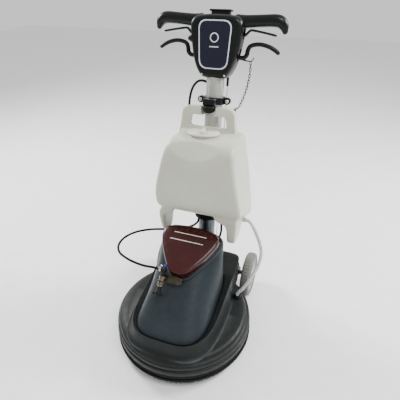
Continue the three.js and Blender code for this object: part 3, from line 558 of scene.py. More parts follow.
def cap_material():
    """Glossy burgundy with two thin pale stripes across its rear half."""
    s = Surface("cap_burgundy", 0.3, Specular_IOR_Level=0.2, Coat_Weight=0.25, Coat_Roughness=0.08)
    x, y, z = s.axes()
    tip = (SLOPE_TIP + Vector((0, DECK_Y, 0))) * MM
    along = s.math(
        "ADD",
        s.math("MULTIPLY", s.math("SUBTRACT", y, tip.y), math.cos(SLOPE)),
        s.math("MULTIPLY", s.math("SUBTRACT", z, tip.z), math.sin(SLOPE)),
    )
    masks = []
    for centre, left, right in ((0.139, -0.055, 0.056), (0.113, -0.062, 0.052)):
        across = s.math("COMPARE", along, centre, 0.0014)
        middle, half = (left + right) / 2, (right - left) / 2
        masks.append(s.math("MULTIPLY", across, s.math("COMPARE", x, middle, half)))
    colour = s.mix(s.spread(s.noise(22, 5), 0.3, 0.7), rgb(46, 14, 13), rgb(51, 16, 15))
    s.colour(s.mix(s.math("ADD", *masks), colour, rgb(196, 188, 178)))
    s.roughness(s.spread(s.noise(40, 6), 0.3, 0.7, 0.16, 0.30))
    return s.bump(s.noise(700, 2), 0.04).material


def polyethylene(name, dark, light, roughness):
    """Blow-moulded translucent polyethylene."""
    s = Surface(
        name, roughness, Subsurface_Weight=0.08, Subsurface_Radius=(0.02, 0.019, 0.016),
        Subsurface_Scale=0.6, IOR=1.5,
    )
    cloud = s.spread(s.noise(7, 5), 0.3, 0.7)
    s.colour(s.mix(cloud, dark, light))
    s.roughness(s.spread(s.noise(30, 5), 0.3, 0.7, roughness - 0.06, roughness + 0.08))
    return s.bump(s.noise(260, 4), 0.10, 0.0006).material


def panel_material():
    """Navy film under clear gloss, with a few fine scratches."""
    s = Surface("panel_film", 0.25, Specular_IOR_Level=0.25, Coat_Weight=0.15, Coat_Roughness=0.08)
    base = s.mix(s.spread(s.noise(30, 6), 0.3, 0.7), rgb(14, 17, 33), rgb(19, 22, 40))
    scratch = s.spread(s.noise(18, 9, (14, 1, 1.6), 0.7), 0.66, 0.72)
    s.colour(s.mix(s.math("MULTIPLY", scratch, 0.5), base, rgb(120, 128, 140)))
    s.roughness(s.spread(s.noise(50, 5), 0.3, 0.7, 0.14, 0.3))
    return s.bump(s.noise(120, 3), 0.03).material


DECK_PLASTIC = moulded(
    "deck_plastic", rgb(23, 26, 26), rgb(29, 33, 33), 0.44, 0.2, dust=0.04, worn=0.15,
    Specular_IOR_Level=0.2,
)
COVER_PLASTIC = moulded(
    "cover_plastic", rgb(34, 40, 44), rgb(39, 46, 50), 0.42, 0.12, dust=0.03,
    Specular_IOR_Level=0.18,
)
BLACK_PLASTIC = moulded(
    "black_plastic", rgb(11, 15, 15), rgb(16, 20, 20), 0.32, 0.08, Specular_IOR_Level=0.22,
)
DARK_BLACK = moulded(
    "black_fitting", rgb(8, 9, 9), rgb(15, 16, 16), 0.42, 0.15, Specular_IOR_Level=0.25,
)
RUBBER = moulded("black_rubber", rgb(9, 9, 9), rgb(16, 16, 16), 0.62, 0.2, 1400, Specular_IOR_Level=0.2)
TYRE = moulded("grey_tyre", rgb(92, 92, 88), rgb(114, 114, 109), 0.7, 0.3, dust=0.25)
HUB_PLASTIC = moulded("hub_plastic", rgb(150, 152, 150), rgb(172, 174, 172), 0.45, dust=0.2)
BEZEL_PLASTIC = moulded("bezel_plastic", rgb(186, 192, 200), rgb(208, 213, 220), 0.28, 0.05)
BLUE_PLASTIC = moulded("blue_tap", rgb(16, 34, 120), rgb(28, 56, 160), 0.35)
CAP_GLOSS = cap_material()
TANK_PLASTIC = polyethylene("tank_polyethylene", rgb(178, 179, 164), rgb(190, 191, 177), 0.36)
LID_PLASTIC = polyethylene("lid_polyethylene", rgb(188, 188, 172), rgb(198, 198, 184), 0.34)
CLEAR_VINYL = moulded(
    "clear_vinyl", rgb(188, 194, 200), rgb(206, 212, 216), 0.28, 0.04,
    Transmission_Weight=0.25, Subsurface_Weight=0.2,
)
TUBE_CHROME = metal("tube_chrome", rgb(158, 158, 154), rgb(186, 186, 180), 0.44, (1, 1, 0.3), 90, 0.02)
BRIGHT = metal("bright_plating", rgb(170, 170, 164), rgb(214, 214, 206), 0.18)
CHAIN_STEEL = metal("chain_steel", rgb(66, 66, 64), rgb(112, 112, 108), 0.3)
NICKEL = metal("nozzle_nickel", rgb(104, 97, 84), rgb(138, 130, 114), 0.24)
DULL_STEEL = metal("dull_steel", rgb(78, 82, 82), rgb(112, 116, 116), 0.42, scale=40, bump=0.15)
# Streaked metal for the lower tube, in a darker grey than the upper tube's.
LOWER_TUBE_DARKER = metal("lower_tube_darker_metal", rgb(84, 90, 92), rgb(108, 114, 116), 0.4, (1, 1, 0.05), 160)
CAST = metal("cast_metal", rgb(86, 88, 86), rgb(120, 122, 118), 0.6, scale=300, bump=0.5)
BROWN_METAL = metal("bracket_metal", rgb(62, 58, 48), rgb(84, 79, 66), 0.44, scale=35, bump=0.2)
PANEL_FILM = panel_material()
BRISTLE = moulded("nylon_bristle", rgb(44, 39, 30), rgb(78, 70, 54), 0.6)


# ---- hoses and cables ----

def make_cord(name, points, diameter, material, node, body=None, stretch=None, **facts):
    """A cord on its route. stretch is (body a, body b, start, end) where it crosses the tilt hinge."""
    path = route(points)
    verts, faces = tube_along(path, diameter / 2)
    obj = mesh_object(name, verts, faces, material, ROW)
    if stretch:
        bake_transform(obj)
    else:
        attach(obj, body)
    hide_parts(node)
    return obj


SOLUTION_ROUTE = [
    (0.1546, 0.1387, 0.3570), (0.166, 0.136, 0.354), (0.180, 0.127, 0.341), (0.197, 0.117, 0.317),
    (0.212, 0.108, 0.289), (0.221, 0.096, 0.260), (0.220, 0.077, 0.233), (0.211, 0.055, 0.206),
    (0.197, 0.034, 0.178), (0.181, 0.019, 0.152), (0.168, 0.013, 0.134), (0.163, 0.012, 0.1216),
]

SPRAY_ROUTE = [
    (-0.022, 0.133, 0.328), (-0.026, 0.131, 0.313), (-0.042, 0.127, 0.296), (-0.068, 0.121, 0.284),
    (-0.102, 0.110, 0.278), (-0.142, 0.092, 0.279), (-0.186, 0.062, 0.288), (-0.221, 0.018, 0.299),
    (-0.236, -0.033, 0.309), (-0.229, -0.084, 0.317), (-0.206, -0.118, 0.320),
    (-0.172, -0.134, 0.318), (-0.138, -0.138, 0.312), (-0.108, -0.134, 0.304),
    (-0.086, -0.127, 0.299), (-0.0668, -0.1258, 0.298),
]

MOTOR_ROUTE = [
    (0.051, 0.168, 0.3264), (0.053, 0.164, 0.311), (0.059, 0.150, 0.295), (0.063, 0.129, 0.283),
    (0.061, 0.106, 0.273), (0.057, 0.084, 0.265), (0.055, 0.070, 0.262), (0.055, 0.058, 0.262),
]

# The head cable's route is given along the column: across, behind, and up from the tilt hinge.
HEAD_ROUTE = [
    (-0.0288, 0.0, 0.648), (-0.042, 0.0, 0.651), (-0.058, 0.001, 0.648), (-0.074, 0.003, 0.632),
    (-0.085, 0.006, 0.604), (-0.090, 0.010, 0.568), (-0.091, 0.012, 0.530), (-0.088, 0.012, 0.488),
    (-0.080, 0.012, 0.440), (-0.066, 0.016, 0.392), (-0.042, 0.030, 0.346), (-0.008, 0.042, 0.308),
    (0.028, 0.038, 0.272), (0.048, 0.020, 0.236), (0.051, 0.005, 0.206), (0.051, 0.004, 0.1883),
]


def make_cords():
    crossing = ("deck", "handle", (0, 0.0, 0.25), (0, 0.13, 0.32))
    make_cord("hose_solution", SOLUTION_ROUTE, HOSE_D, CLEAR_VINYL, "solution_hose",
              stretch=("deck", "handle", (0, 0.02, 0.15), (0, 0.13, 0.34)),
              stiffness="medium", lay="hanging")
    make_cord("hose_spray", SPRAY_ROUTE, CABLE_D, RUBBER, "spray_hose", stretch=crossing,
              stiffness="stiff", lay="hanging")
    make_cord("cable_motor", MOTOR_ROUTE, CABLE_D, RUBBER, "motor_cable",
              stretch=("deck", "handle", (0, 0.07, 0.27), (0, 0.16, 0.32)),
              stiffness="medium", lay="hanging")
    make_cord("cable_head", [tuple(COLUMN @ Vector(p)) for p in HEAD_ROUTE], CABLE_D, RUBBER,
              "head_cable", body="handle", stiffness="medium", lay="hanging")


# ---- deck shroud ----

def smoothstep(value, low, high):
    """0 below low, 1 above high, and a soft step between."""
    t = min(max((value - low) / (high - low), 0), 1)
    return t * t * (3 - 2 * t)


SKIRT_STEPS = [  # (radius, height) from the flat top annulus down to the lip
    (192, 111.5), (204, 110.5), (211, 107.5), (214.5, 102), (216, 99), (219, 97.4), (223, 96.4),
    (226, 93.5), (227, 89), (226, 82), (223.4, 79), (222.6, 77), (224, 75.4), (227.4, 74.4),
    (229, 71.5), (229.4, 64), (228.6, 56), (226, 52), (222.8, 49.6), (222, 47), (223.2, 44.8),
    (225.6, 43.2), (226, 40), (224.9, 38.2), (224.7, 30), (223.6, LIP_Z),
]


def collar_outline(margin):
    """The raised collar in plan; behind, its walls stay upright beside the wheels."""
    plain, grown = [
        superellipse(COLLAR_HALF_X + extra, COLLAR_FRONT_Y - extra, COLLAR_REAR_Y, COLLAR_POWERS, 200)
        for extra in (0, margin)
    ]
    return [
        (x + (plain_x - x) * smoothstep(y, 50, 140), y)
        for (x, y), (plain_x, _) in zip(grown, plain)
    ]


def make_shroud():
    """The round deck with the collar round the motor cover, which rises to two towers behind."""
    def at(outline, base, rise):
        return [(x, y, base + rise * smoothstep(y, -120, 190)) for x, y in outline]

    def across_top(share):
        return [(a[0] + (b[0] - a[0]) * share, a[1] + (b[1] - a[1]) * share)
                for a, b in zip(well, ridge)]

    gap = 1.6
    well = superellipse(COVER_HALF_X + gap, COVER_FRONT_Y - gap, COVER_REAR_Y + gap, COVER_POWERS, 200)
    ridge = collar_outline(-3)
    rings = [at(well, 104, 0)]
    ledge = ((0, 11), (0.03, 7.6), (0.1, 6), (0.25, 5), (0.5, 3.4), (0.8, 1.2), (0.93, 0.2), (1.0, 0))
    for share, drop in ledge:
        rings.append(at(across_top(share), COLLAR_TOP - drop, COLLAR_RISE))
    wall = (
        (-2.2, 150.2, COLLAR_RISE), (-1.4, 148, 39.4), (0.4, 142, 36), (3, 133, 27), (6, 124, 15),
        (9.5, 117, 6), (14, 112.8, 1), (18, 110.5, 0), (18, 104, 0),
    )
    for margin, base, rise in wall:
        rings.append(at(collar_outline(margin), base, rise))
    rings.append(rings[0])
    collar = mesh_object("collar_wall", *loft(rings, (False, False)), DECK_PLASTIC)
    shroud = mesh_object("deck_body", *lathe([(0, LIP_Z), (0, 112), *SKIRT_STEPS], 240, 0.6),
                         DECK_PLASTIC)
    carve(shroud, collar, operation="UNION")
    cavity = mesh_object("cavity", *lathe([
        (0, 18), (219, 18), (219, 70), (205, 94), (104, 101), (104, 240), (0, 240),
    ], 200, 2), DECK_PLASTIC)
    slot = mesh_object("slot", *box((-53, 158, 112), (53, 290, 290), 5, 4), DECK_PLASTIC)
    carve(shroud, cavity, slot)
    piece(shroud, "deck", "deck_shroud", slot="deck_plastic")
    bumper = mesh_object("bumper", *lathe([
        (225.2, 30), (229, 28.8), (231, 31), (231, 35), (229, 37.6), (225.2, 37.4),
    ], 200, 1.2), RUBBER)
    piece(bumper, "deck", "bumper_ring", slot="rubber")


# ---- motor cover and its cap ----

CAP_SIDE = [
    (0, 0), (18, 1.5), (32, 10), (46, 28), (60, 49), (74, 72), (87, 98), (97, 124), (97, 145),
    (85, 160), (61, 169), (31, 173), (0, 174),
]


def cover_outline(z, inset=0.0):
    """The motor cover's plan at a height, with as many points as the cap's."""
    return [(x, y, z) for x, y in superellipse(
        COVER_HALF_X - inset, COVER_FRONT_Y + inset, COVER_REAR_Y - inset, COVER_POWERS, 144,
    )]


def cap_plan():
    """The rounded triangle of the sloping top as (x, distance up the slope), in 144 points."""
    corners = CAP_SIDE + [(-x, along) for x, along in reversed(CAP_SIDE[1:-1])]
    curve = curve_through([(x, along, 0) for x, along in corners], 6, closed=True)
    return [(point.x, point.y) for point in curve]


def cap_outline(scale, height, fall=0.0):
    """The cap's outline at a height over the cover's top face, falling towards the rear."""
    middle = CAP_LENGTH / 2
    ring = []
    for x, t in cap_plan():
        along = middle + (t - middle) * scale
        up = height - fall * along / CAP_LENGTH
        ring.append((
            x * scale,
            SLOPE_TIP.y + along * math.cos(SLOPE) - up * math.sin(SLOPE),
            SLOPE_TIP.z + along * math.sin(SLOPE) + up * math.cos(SLOPE),
        ))
    return ring


def between(low, high, share, bulge=0.0):
    """A ring between two others, a little wider than straight lines would leave it."""
    swell = 1 + bulge * math.sin(share * math.pi)
    return [
        ((a[0] + (b[0] - a[0]) * share) * swell, a[1] + (b[1] - a[1]) * share,
         a[2] + (b[2] - a[2]) * share) for a, b in zip(low, high)
    ]


def make_cover():
    rim, shoulder = cover_outline(152), cap_outline(1.085, -14.5)
    rings = [cover_outline(128, 0.4), cover_outline(140), rim]
    rings += [between(rim, shoulder, share, 0.008) for share in (0.2, 0.4, 0.6, 0.8, 0.93)]
    rings += [shoulder]
    rings = refined(rings, 3)
    rings += [cap_outline(scale, height) for scale, height in (
        (1.087, -12), (1.083, -9.6), (1.074, -7.6), (1.06, -5.4), (1.04, -3), (1.02, -1.2),
        (1.0, -0.6), (0.96, -0.5), (0.8, -0.5),
    )]
    cover = mesh_object("cover_shell", *loft(rings), COVER_PLASTIC)
    piece(cover, "deck", "motor_cover", slot="cover_plastic")
    gasket = mesh_object("gasket", *loft([cap_outline(scale, height) for scale, height in (
        (0.98, -0.2), (1.012, 0.1), (1.02, 1.2), (1.02, 2.8), (1.012, 4.0), (0.98, 4.3),
    )]), RUBBER)
    piece(gasket, "deck", "cover_gasket", slot="rubber")
    rings = [cap_outline(0.985, 4.4), cap_outline(1.0, 4.8), cap_outline(1.004, 6.5)]
    crown = (
        (1.002, -16), (0.995, -9), (0.986, -4.6), (0.979, -2.2), (0.968, 0), (0.952, 1.4),
        (0.93, 2.3), (0.88, 3.1), (0.78, 3.8), (0.6, 4.3), (0.3, 4.5),
    )
    rings += [cap_outline(scale, 4.4 + CAP_WALL + height, CAP_FALL) for scale, height in crown]
    cap = mesh_object("cap", *loft(rings), CAP_GLOSS)
    piece(cap, "deck", "cover_cap", slot="cap_plastic")


# ---- brush ----

def make_brush():
    """Rows of nylon tufts under the brush block; the outer rows are made of single strands."""
    dice = random.Random(17)
    verts, faces = [], []

    def strand(base, tip, radius, sides):
        start = len(verts)
        for point, size in ((base, radius), (tip, radius * 0.7)):
            for k in range(sides):
                angle = 2 * math.pi * k / sides
                verts.append((
                    point[0] + size * math.cos(angle), point[1] + size * math.sin(angle), point[2],
                ))
        for k in range(sides):
            m = (k + 1) % sides
            faces.append((start + k, start + m, start + sides + m, start + sides + k))
        faces.append(tuple(start + sides + k for k in range(sides)))
        faces.append(tuple(start + k for k in reversed(range(sides))))

    rows = [(209, 190, 9), (203, 180, 5), (196, 150, 1), (184, 130, 1), (170, 120, 1), (156, 110, 1),
            (142, 100, 1)]
    for row, (radius, tufts, strands) in enumerate(rows):
        for i in range(tufts):
            angle = 2 * math.pi * (i + 0.5 * (row % 2)) / tufts
            for _ in range(strands):
                spread = 2.2 if strands > 1 else 0.0
                turn = angle + dice.uniform(-spread, spread) / radius
                inner = radius + dice.uniform(-spread, spread)
                lean = turn + dice.uniform(-3, 3) / radius
                outer = inner + dice.uniform(2, 8.5)
                size = 0.55 if strands > 1 else 2.6
                low = dice.uniform(0, 1.4)
                strand(
                    (inner * math.cos(turn), inner * math.sin(turn), 37),
                    (outer * math.cos(lean), outer * math.sin(lean), low), size,
                    3 if strands > 1 else 6,
                )
    bristles = mesh_object("bristles", verts, faces, BRISTLE, sharp=80)
    piece(bristles, "brush", "bristle_ring", slot="bristle")
    plate = mesh_object("brush_plate", *lathe([
        (30, 36.5), (214, 36.5), (214, 50), (206, 54), (30, 54),
    ], 160, 1), DECK_PLASTIC)
    piece(plate, "brush", "brush_block", slot="deck_plastic")


# ---- wheels, axle, hinge ----

def make_wheel(side, name):
    x, y, z = WHEEL
    tread_sides = 240

    def tread(angle, r, z_in):
        notch = round(angle / (2 * math.pi) * tread_sides) % 6 == 0
        return -1.8 if notch and r > 81 else 0

    def at_wheel(shape):
        return moved(along_x(shape), side * x, y, z)

    tyre = mesh_object("tyre_" + name, *at_wheel(lathe([
        (62.4, -15), (68, -17.6), (73, -18), (80, -15.5), (84, -10), (85, -5), (85, 5), (84, 10),
        (80, 15.5), (73, 18), (68, 17.6), (62.4, 15),
    ], tread_sides, 1.5, tread)), TYRE)
    piece(tyre, "wheel_" + name, "wheel_tyre_" + name, slot="tyre")
    hub = mesh_object("hub_" + name, *at_wheel(lathe([
        (8.6, -17), (16, -17), (19, -15), (21, -9), (40, -7), (54, -9), (58, -14), (61.6, -14),
        (61.6, 14), (58, 14), (54, 9), (40, 7), (21, 9), (19, 15), (16, 17), (8.6, 17),
    ], 96, 1.5)), HUB_PLASTIC)
    spokes = []
    for i in range(6):
        turn = Matrix.Rotation(2 * math.pi * i / 6, 4, "Z")
        spokes.append(mesh_object("spoke", *at_wheel(
            shifted(box((20, -2.2, -13), (58, 2.2, 13), 1.6), turn)), HUB_PLASTIC))
    merge("hub_" + name, hub, *spokes)
    piece(hub, "wheel_" + name, "wheel_hub_" + name, slot="pale_plastic")


def make_axle():
    x, y, z = WHEEL
    stop = x + 19
    axle = mesh_object("axle", *moved(along_x(lathe([
        (0, -stop - 7), (11, -stop - 7), (15, -stop - 3.5), (15, -stop), (8, -stop), (8, stop),
        (15, stop), (15, stop + 3.5), (11, stop + 7), (0, stop + 7),
    ], 48, 1.5)), 0, y, z), DULL_STEEL)
    piece(axle, "deck", "wheel_axle", slot="dark_steel")
    pin = mesh_object("tilt_pin", *moved(along_x(lathe([
        (0, -49), (12, -49), (12, -42.8), (8, -42.8), (8, 49), (0, 49),
    ], 40, 1.2)), 0, 221, 150), BRIGHT)
    piece(pin, "deck", "hinge_pin", slot="chrome")


# ---- spray nozzle ----

def slab(outline, low_y, high_y, bevel=0.8):
    """A flat plate from an outline of (x, z), between two values of y, with softened rims."""
    bm = bmesh.new()
    near = [bm.verts.new((x, low_y, z)) for x, z in outline]
    far = [bm.verts.new((x, high_y, z)) for x, z in outline]
    bm.faces.new(near)
    bm.faces.new(list(reversed(far)))
    for i in range(len(near)):
        j = (i + 1) % len(near)
        bm.faces.new((near[j], near[i], far[i], far[j]))
    if bevel:
        rims = [e for e in bm.edges if abs(e.verts[0].co.y - e.verts[1].co.y) < 1e-6]
        bmesh.ops.bevel(bm, geom=rims, offset=bevel, segments=2, profile=0.5, affect="EDGES")
    bm.verts.index_update()
    shape = [tuple(v.co) for v in bm.verts], [tuple(v.index for v in f.verts) for f in bm.faces]
    bm.free()
    return shape


def make_nozzle():
    ribs = [(0, -20), (7.6, -20), (8.4, -18.6), (8.4, -17)]
    for i in range(5):
        z = -16.6 + 2.2 * i
        ribs += [(10.4, z), (10.4, z + 1.2), (8.6, z + 1.4), (8.6, z + 2.1)]
    ribs += [(8.4, -5), (8.4, 12), (0, 12)]
    body = mesh_object("nozzle", *lathe(ribs, 48, 0.3), NICKEL, NOZZLE)
    nut = mesh_object("nut", *lathe([(0, 6), (9.6, 6), (10.4, 6.8), (10.4, 11.2), (9.6, 12), (0, 12)],
                                    6, 0.2), NICKEL, NOZZLE, 20)
    merge("nozzle", body, nut)
    piece(body, "deck", "nozzle_body", slot="chrome")
    cap = mesh_object("nozzle_tip", *lathe([
        (0, -50), (5, -50), (9, -46), (10.4, -41), (10.4, -36), (7, -34.6), (7, -21.2), (0, -21.2),
    ], 48, 1), DARK_BLACK, NOZZLE)
    wings = mesh_object("wings", *box((-18, -4, -48), (18, 4, -37), 3.4, 4), DARK_BLACK, NOZZLE)
    merge("nozzle_tip", cap, wings)
    piece(cap, "nozzle_cap", "nozzle_cap", slot="black_plastic")

    elbow = mesh_object("elbow", *lathe([
        (0, 12.4), (6.5, 12.4), (6.5, 16.6), (8, 17), (8, 20), (6.6, 20.4), (6.6, 24), (8, 24.4),
        (8, 34), (6.8, 38.6), (3.8, 41.4), (0, 42),
    ], 48, 0.8), DARK_BLACK, NOZZLE)
    barb = mesh_object("barb", *moved(along_x(lathe([
        (0, -22), (5.6, -22), (7, -18), (5.6, -17.6), (7, -13.6), (5.6, -13.2), (7, -9), (7, 0), (0, 0),
    ], 36, 0.5)), 0, 0, 32), DARK_BLACK, NOZZLE)
    clamp = mesh_object("hose_clip", *moved(along_x(lathe([
        (6.6, -16), (8.2, -16), (8.2, -9.4), (6.6, -9.4),
    ], 40, 0.4)), 0, 0, 32), BRIGHT, NOZZLE)
    ears = [
        mesh_object("ear", *moved(shifted(
            box((-14.6, -1, 7), (-10.8, 1, 15.5), 0.7), Matrix.Rotation(side * 0.4, 4, "X"),
        ), 0, 0, 32), BRIGHT, NOZZLE)
        for side in (-1, 1)
    ]
    tap = mesh_object("tap", *box((-5, -4.2, 40.5), (5, 4.2, 50), 2.4, 4), BLUE_PLASTIC, NOZZLE)
    merge("elbow", elbow, barb, clamp, *ears, tap)
    piece(elbow, "deck", "hose_barb", slot="black_plastic")

    outline = rounded([(-12, -3), (50, -3), (62, 0), (62, 19), (50, 22), (-12, 22)], 9, 5, True)
    tab = mesh_object("tab", *slab([(x, z) for x, z in outline], 12, 14.5, 0.7), BROWN_METAL, NOZZLE)
    foot = mesh_object("tab_foot", *box((-12, 6, -4.6), (12, 13, -0.4), 1), BROWN_METAL, NOZZLE)
    ring = mesh_object("tab_ring", *lathe([
        (8.9, -4.6), (12.5, -4.6), (12.5, -0.4), (8.9, -0.4)], 48, 0.6), BROWN_METAL, NOZZLE)
    merge("nozzle_tab", tab, foot, ring)
    piece(tab, "deck", "nozzle_bracket", slot="dark_steel")


def make_deck_fittings():
    gland = mesh_object("gland", *moved(along_y(lathe([
        (4.6, -14), (6, -14), (6, 0), (10, 0), (10, 4), (7, 6), (6, 13), (4.6, 13),
    ], 48, 0.8)), 55, 136, 262), DARK_BLACK)
    piece(gland, "deck", "cable_gland", slot="black_plastic")
    grommet = mesh_object("grommet", *moved(lathe([
        (6.6, -6), (10, -6), (10, 1.6), (13, 1.8), (13, 4), (9, 9), (6.6, 9),
    ], 48, 0.8), 163, 100, 112), RUBBER)
    piece(grommet, "deck", "hose_grommet", slot="rubber")


# ---- column ----

def make_column():
    barrel = on_column("foot", along_x(lathe([
        (8.5, -34.4), (19, -34.4), (19, 34.4), (8.5, 34.4)], 64, 1.4)), CAST)
    socket = on_column("socket", lathe([
        (0, 14), (21, 14), (24, 22), (30, 22.4), (30, 29.6), (24, 30), (24, 60), (0, 60),
    ], 64, 1.6), CAST)
    merge("foot", barrel, socket)
    piece(barrel, "handle", "column_foot", slot="cast_metal")
    lower = on_column("tube_lower", lathe([
        (24.4, 30.4), (FOOT_R, 30.4), (FOOT_R, COLLAR_LOW + 24), (24.4, COLLAR_LOW + 24),
    ], 96, 0.8), LOWER_TUBE_DARKER)
    piece(lower, "handle", "lower_tube", slot="dark_steel")
    collar = on_column("collar", lathe([
        (30.4, COLLAR_LOW), (42, COLLAR_LOW), (45, COLLAR_LOW + 3), (45, COLLAR_LOW + 9),
        (43, COLLAR_LOW + 16), (38, COLLAR_LOW + 27), (35.4, COLLAR_LOW + 35),
        (28.4, COLLAR_LOW + 36), (28.4, COLLAR_LOW + 25), (30.4, COLLAR_LOW + 25),
    ], 96, 2), RUBBER)
    clip = on_column("clip", moved(lathe([
        (5, COLLAR_LOW + 4), (9, COLLAR_LOW + 4), (9, COLLAR_LOW + 16), (5, COLLAR_LOW + 16),
    ], 40, 1), 51, 4), RUBBER)
    merge("collar", collar, clip)
    piece(collar, "handle", "tank_collar", slot="rubber")
    upper = on_column("tube_upper", lathe([
        (25.4, COLLAR_LOW + 24.4), (TUBE_R, COLLAR_LOW + 24.4), (TUBE_R, 700), (25.4, 700),
    ], 128, 0.6), TUBE_CHROME)
    piece(upper, "handle", "upper_tube", slot="chrome")


def make_clamp():
    """The two-part clamp ring with its ears, bolts and the round tank catch below it."""
    low, high = CLAMP_AT - 11, CLAMP_AT + 11
    for name, near, far in (("front", -90, -0.2), ("rear", 0.2, 90)):
        half = on_column("clamp_" + name, lathe([
            (28.4, low), (37, low), (37, high), (28.4, high)], 128, 1.6), BLACK_PLASTIC)
        for side in (-1, 1):
            ear = on_column("ear", moved(along_y(lathe([
                (0, -8), (11, -8), (11, 8), (0, 8),
            ], 48, 1.6)), side * EAR_X, 0, CLAMP_AT), BLACK_PLASTIC)
            left, right = sorted((side * 31, side * EAR_X))
            neck = on_column("neck", box(
                (left, -7.4, CLAMP_AT - 9), (right, 7.4, CLAMP_AT + 9), 1.2,
            ), BLACK_PLASTIC)
            carve(half, ear, neck, operation="UNION")
        if name == "front":
            boss = on_column("boss", box((-20, -62, low), (20, -31, CLAMP_AT + 9), 4, 4), BLACK_PLASTIC)
            carve(half, boss, operation="UNION")
        keep = on_column("keep", box((-90, near, 500), (90, far, 700), 0), BLACK_PLASTIC)
        carve(half, keep, operation="INTERSECT")
        bores = [
            on_column("bore", moved(along_y(lathe([(0, -30), (5, -30), (5, 30), (0, 30)], 32, 0)),
                                    side * EAR_X, 0, CLAMP_AT), BLACK_PLASTIC)
            for side in (-1, 1)
        ]
        bores.append(on_column("bore", lathe([
            (0, 500), (28.4, 500), (28.4, 700), (0, 700),
        ], 128, 0), BLACK_PLASTIC))
        carve(half, *bores)
        half.name = "clamp_half_" + name
        piece(half, "handle", "clamp_" + name, slot="black_plastic")
    for side, word in SIDES:
        bolt = on_column("bolt_" + word, moved(along_y(lathe([
            (0, -14), (3, -14), (5.6, -13), (6.6, -10.6), (6.6, -8.4), (4.6, -8.4), (4.6, 13), (0, 13),
        ], 40, 0.8)), side * EAR_X, 0, CLAMP_AT), BRIGHT)
        piece(bolt, "handle", "clamp_bolt_" + word, slot="chrome")
    flat = low - 0.4
    dome = [(21.4 * math.cos(a), flat - 5 - 19.4 * math.sin(a))
            for a in (math.radians(d) for d in range(0, 90, 10))]
    knob = on_column("catch_knob", moved(lathe(
        [(0, flat), (18, flat), (20.4, flat - 1.4), *dome, (0, flat - 24.4)], 96, 1.2,
    ), 0, KNOB_Y), RUBBER)
    piece(knob, "tank_catch_knob", "tank_catch_knob", slot="rubber")


# ---- solution tank ----

TANK_ROWS = [  # height along the column, left and right reach, front, rear, fall towards the rear
    (238, 104, 126, -148, -38, 0.3), (243, 113, 146, -166, -24, 0.3), (252, 118, 157, -181, -14, 0.3),
    (268, 120, 162, -190, -9, 0.28), (300, 121, 158, -195, -7, 0.2), (345, 118, 149, -196, -7, 0.08),
    (390, 111, 140, -194, -7, 0), (435, 103, 130, -189, -7, -0.02), (466, 96, 124, -181, -10, -0.05),
    (486, 90, 119, -170, -16, -0.1), (496, 84, 112, -158, -24, -0.12), (500, 72, 100, -144, -36, -0.12),
]
LEG_ROWS = [  # height, inner side, left leg's and right leg's outer side, front, rear
    (149, 111, 125, 132, -112, -70), (154, 109.5, 126, 136, -118, -66),
    (170, 109, 127, 139, -126, -61), (200, 109, 128, 142, -138, -54),
    (220, 106, 127, 144, -146, -49), (231, 95, 125, 145, -151, -46),
    (240, 77, 122, 145, -156, -44), (256, 66, 114, 145, -160, -40),
]


def rounded_rectangle(half_x, low, high, radius, steps=8):
    """Plan points of a rectangle with round corners, starting at its front right corner."""
    points = []
    for side_x, side_y, start in ((1, -1, -90), (1, 1, 0), (-1, 1, 90), (-1, -1, 180)):
        x = side_x * (half_x - radius)
        y = high - radius if side_y > 0 else low + radius
        for i in range(steps + 1):
            angle = math.radians(start + 90 * i / steps)
            points.append((x + radius * math.cos(angle), y + radius * math.sin(angle)))
    return points


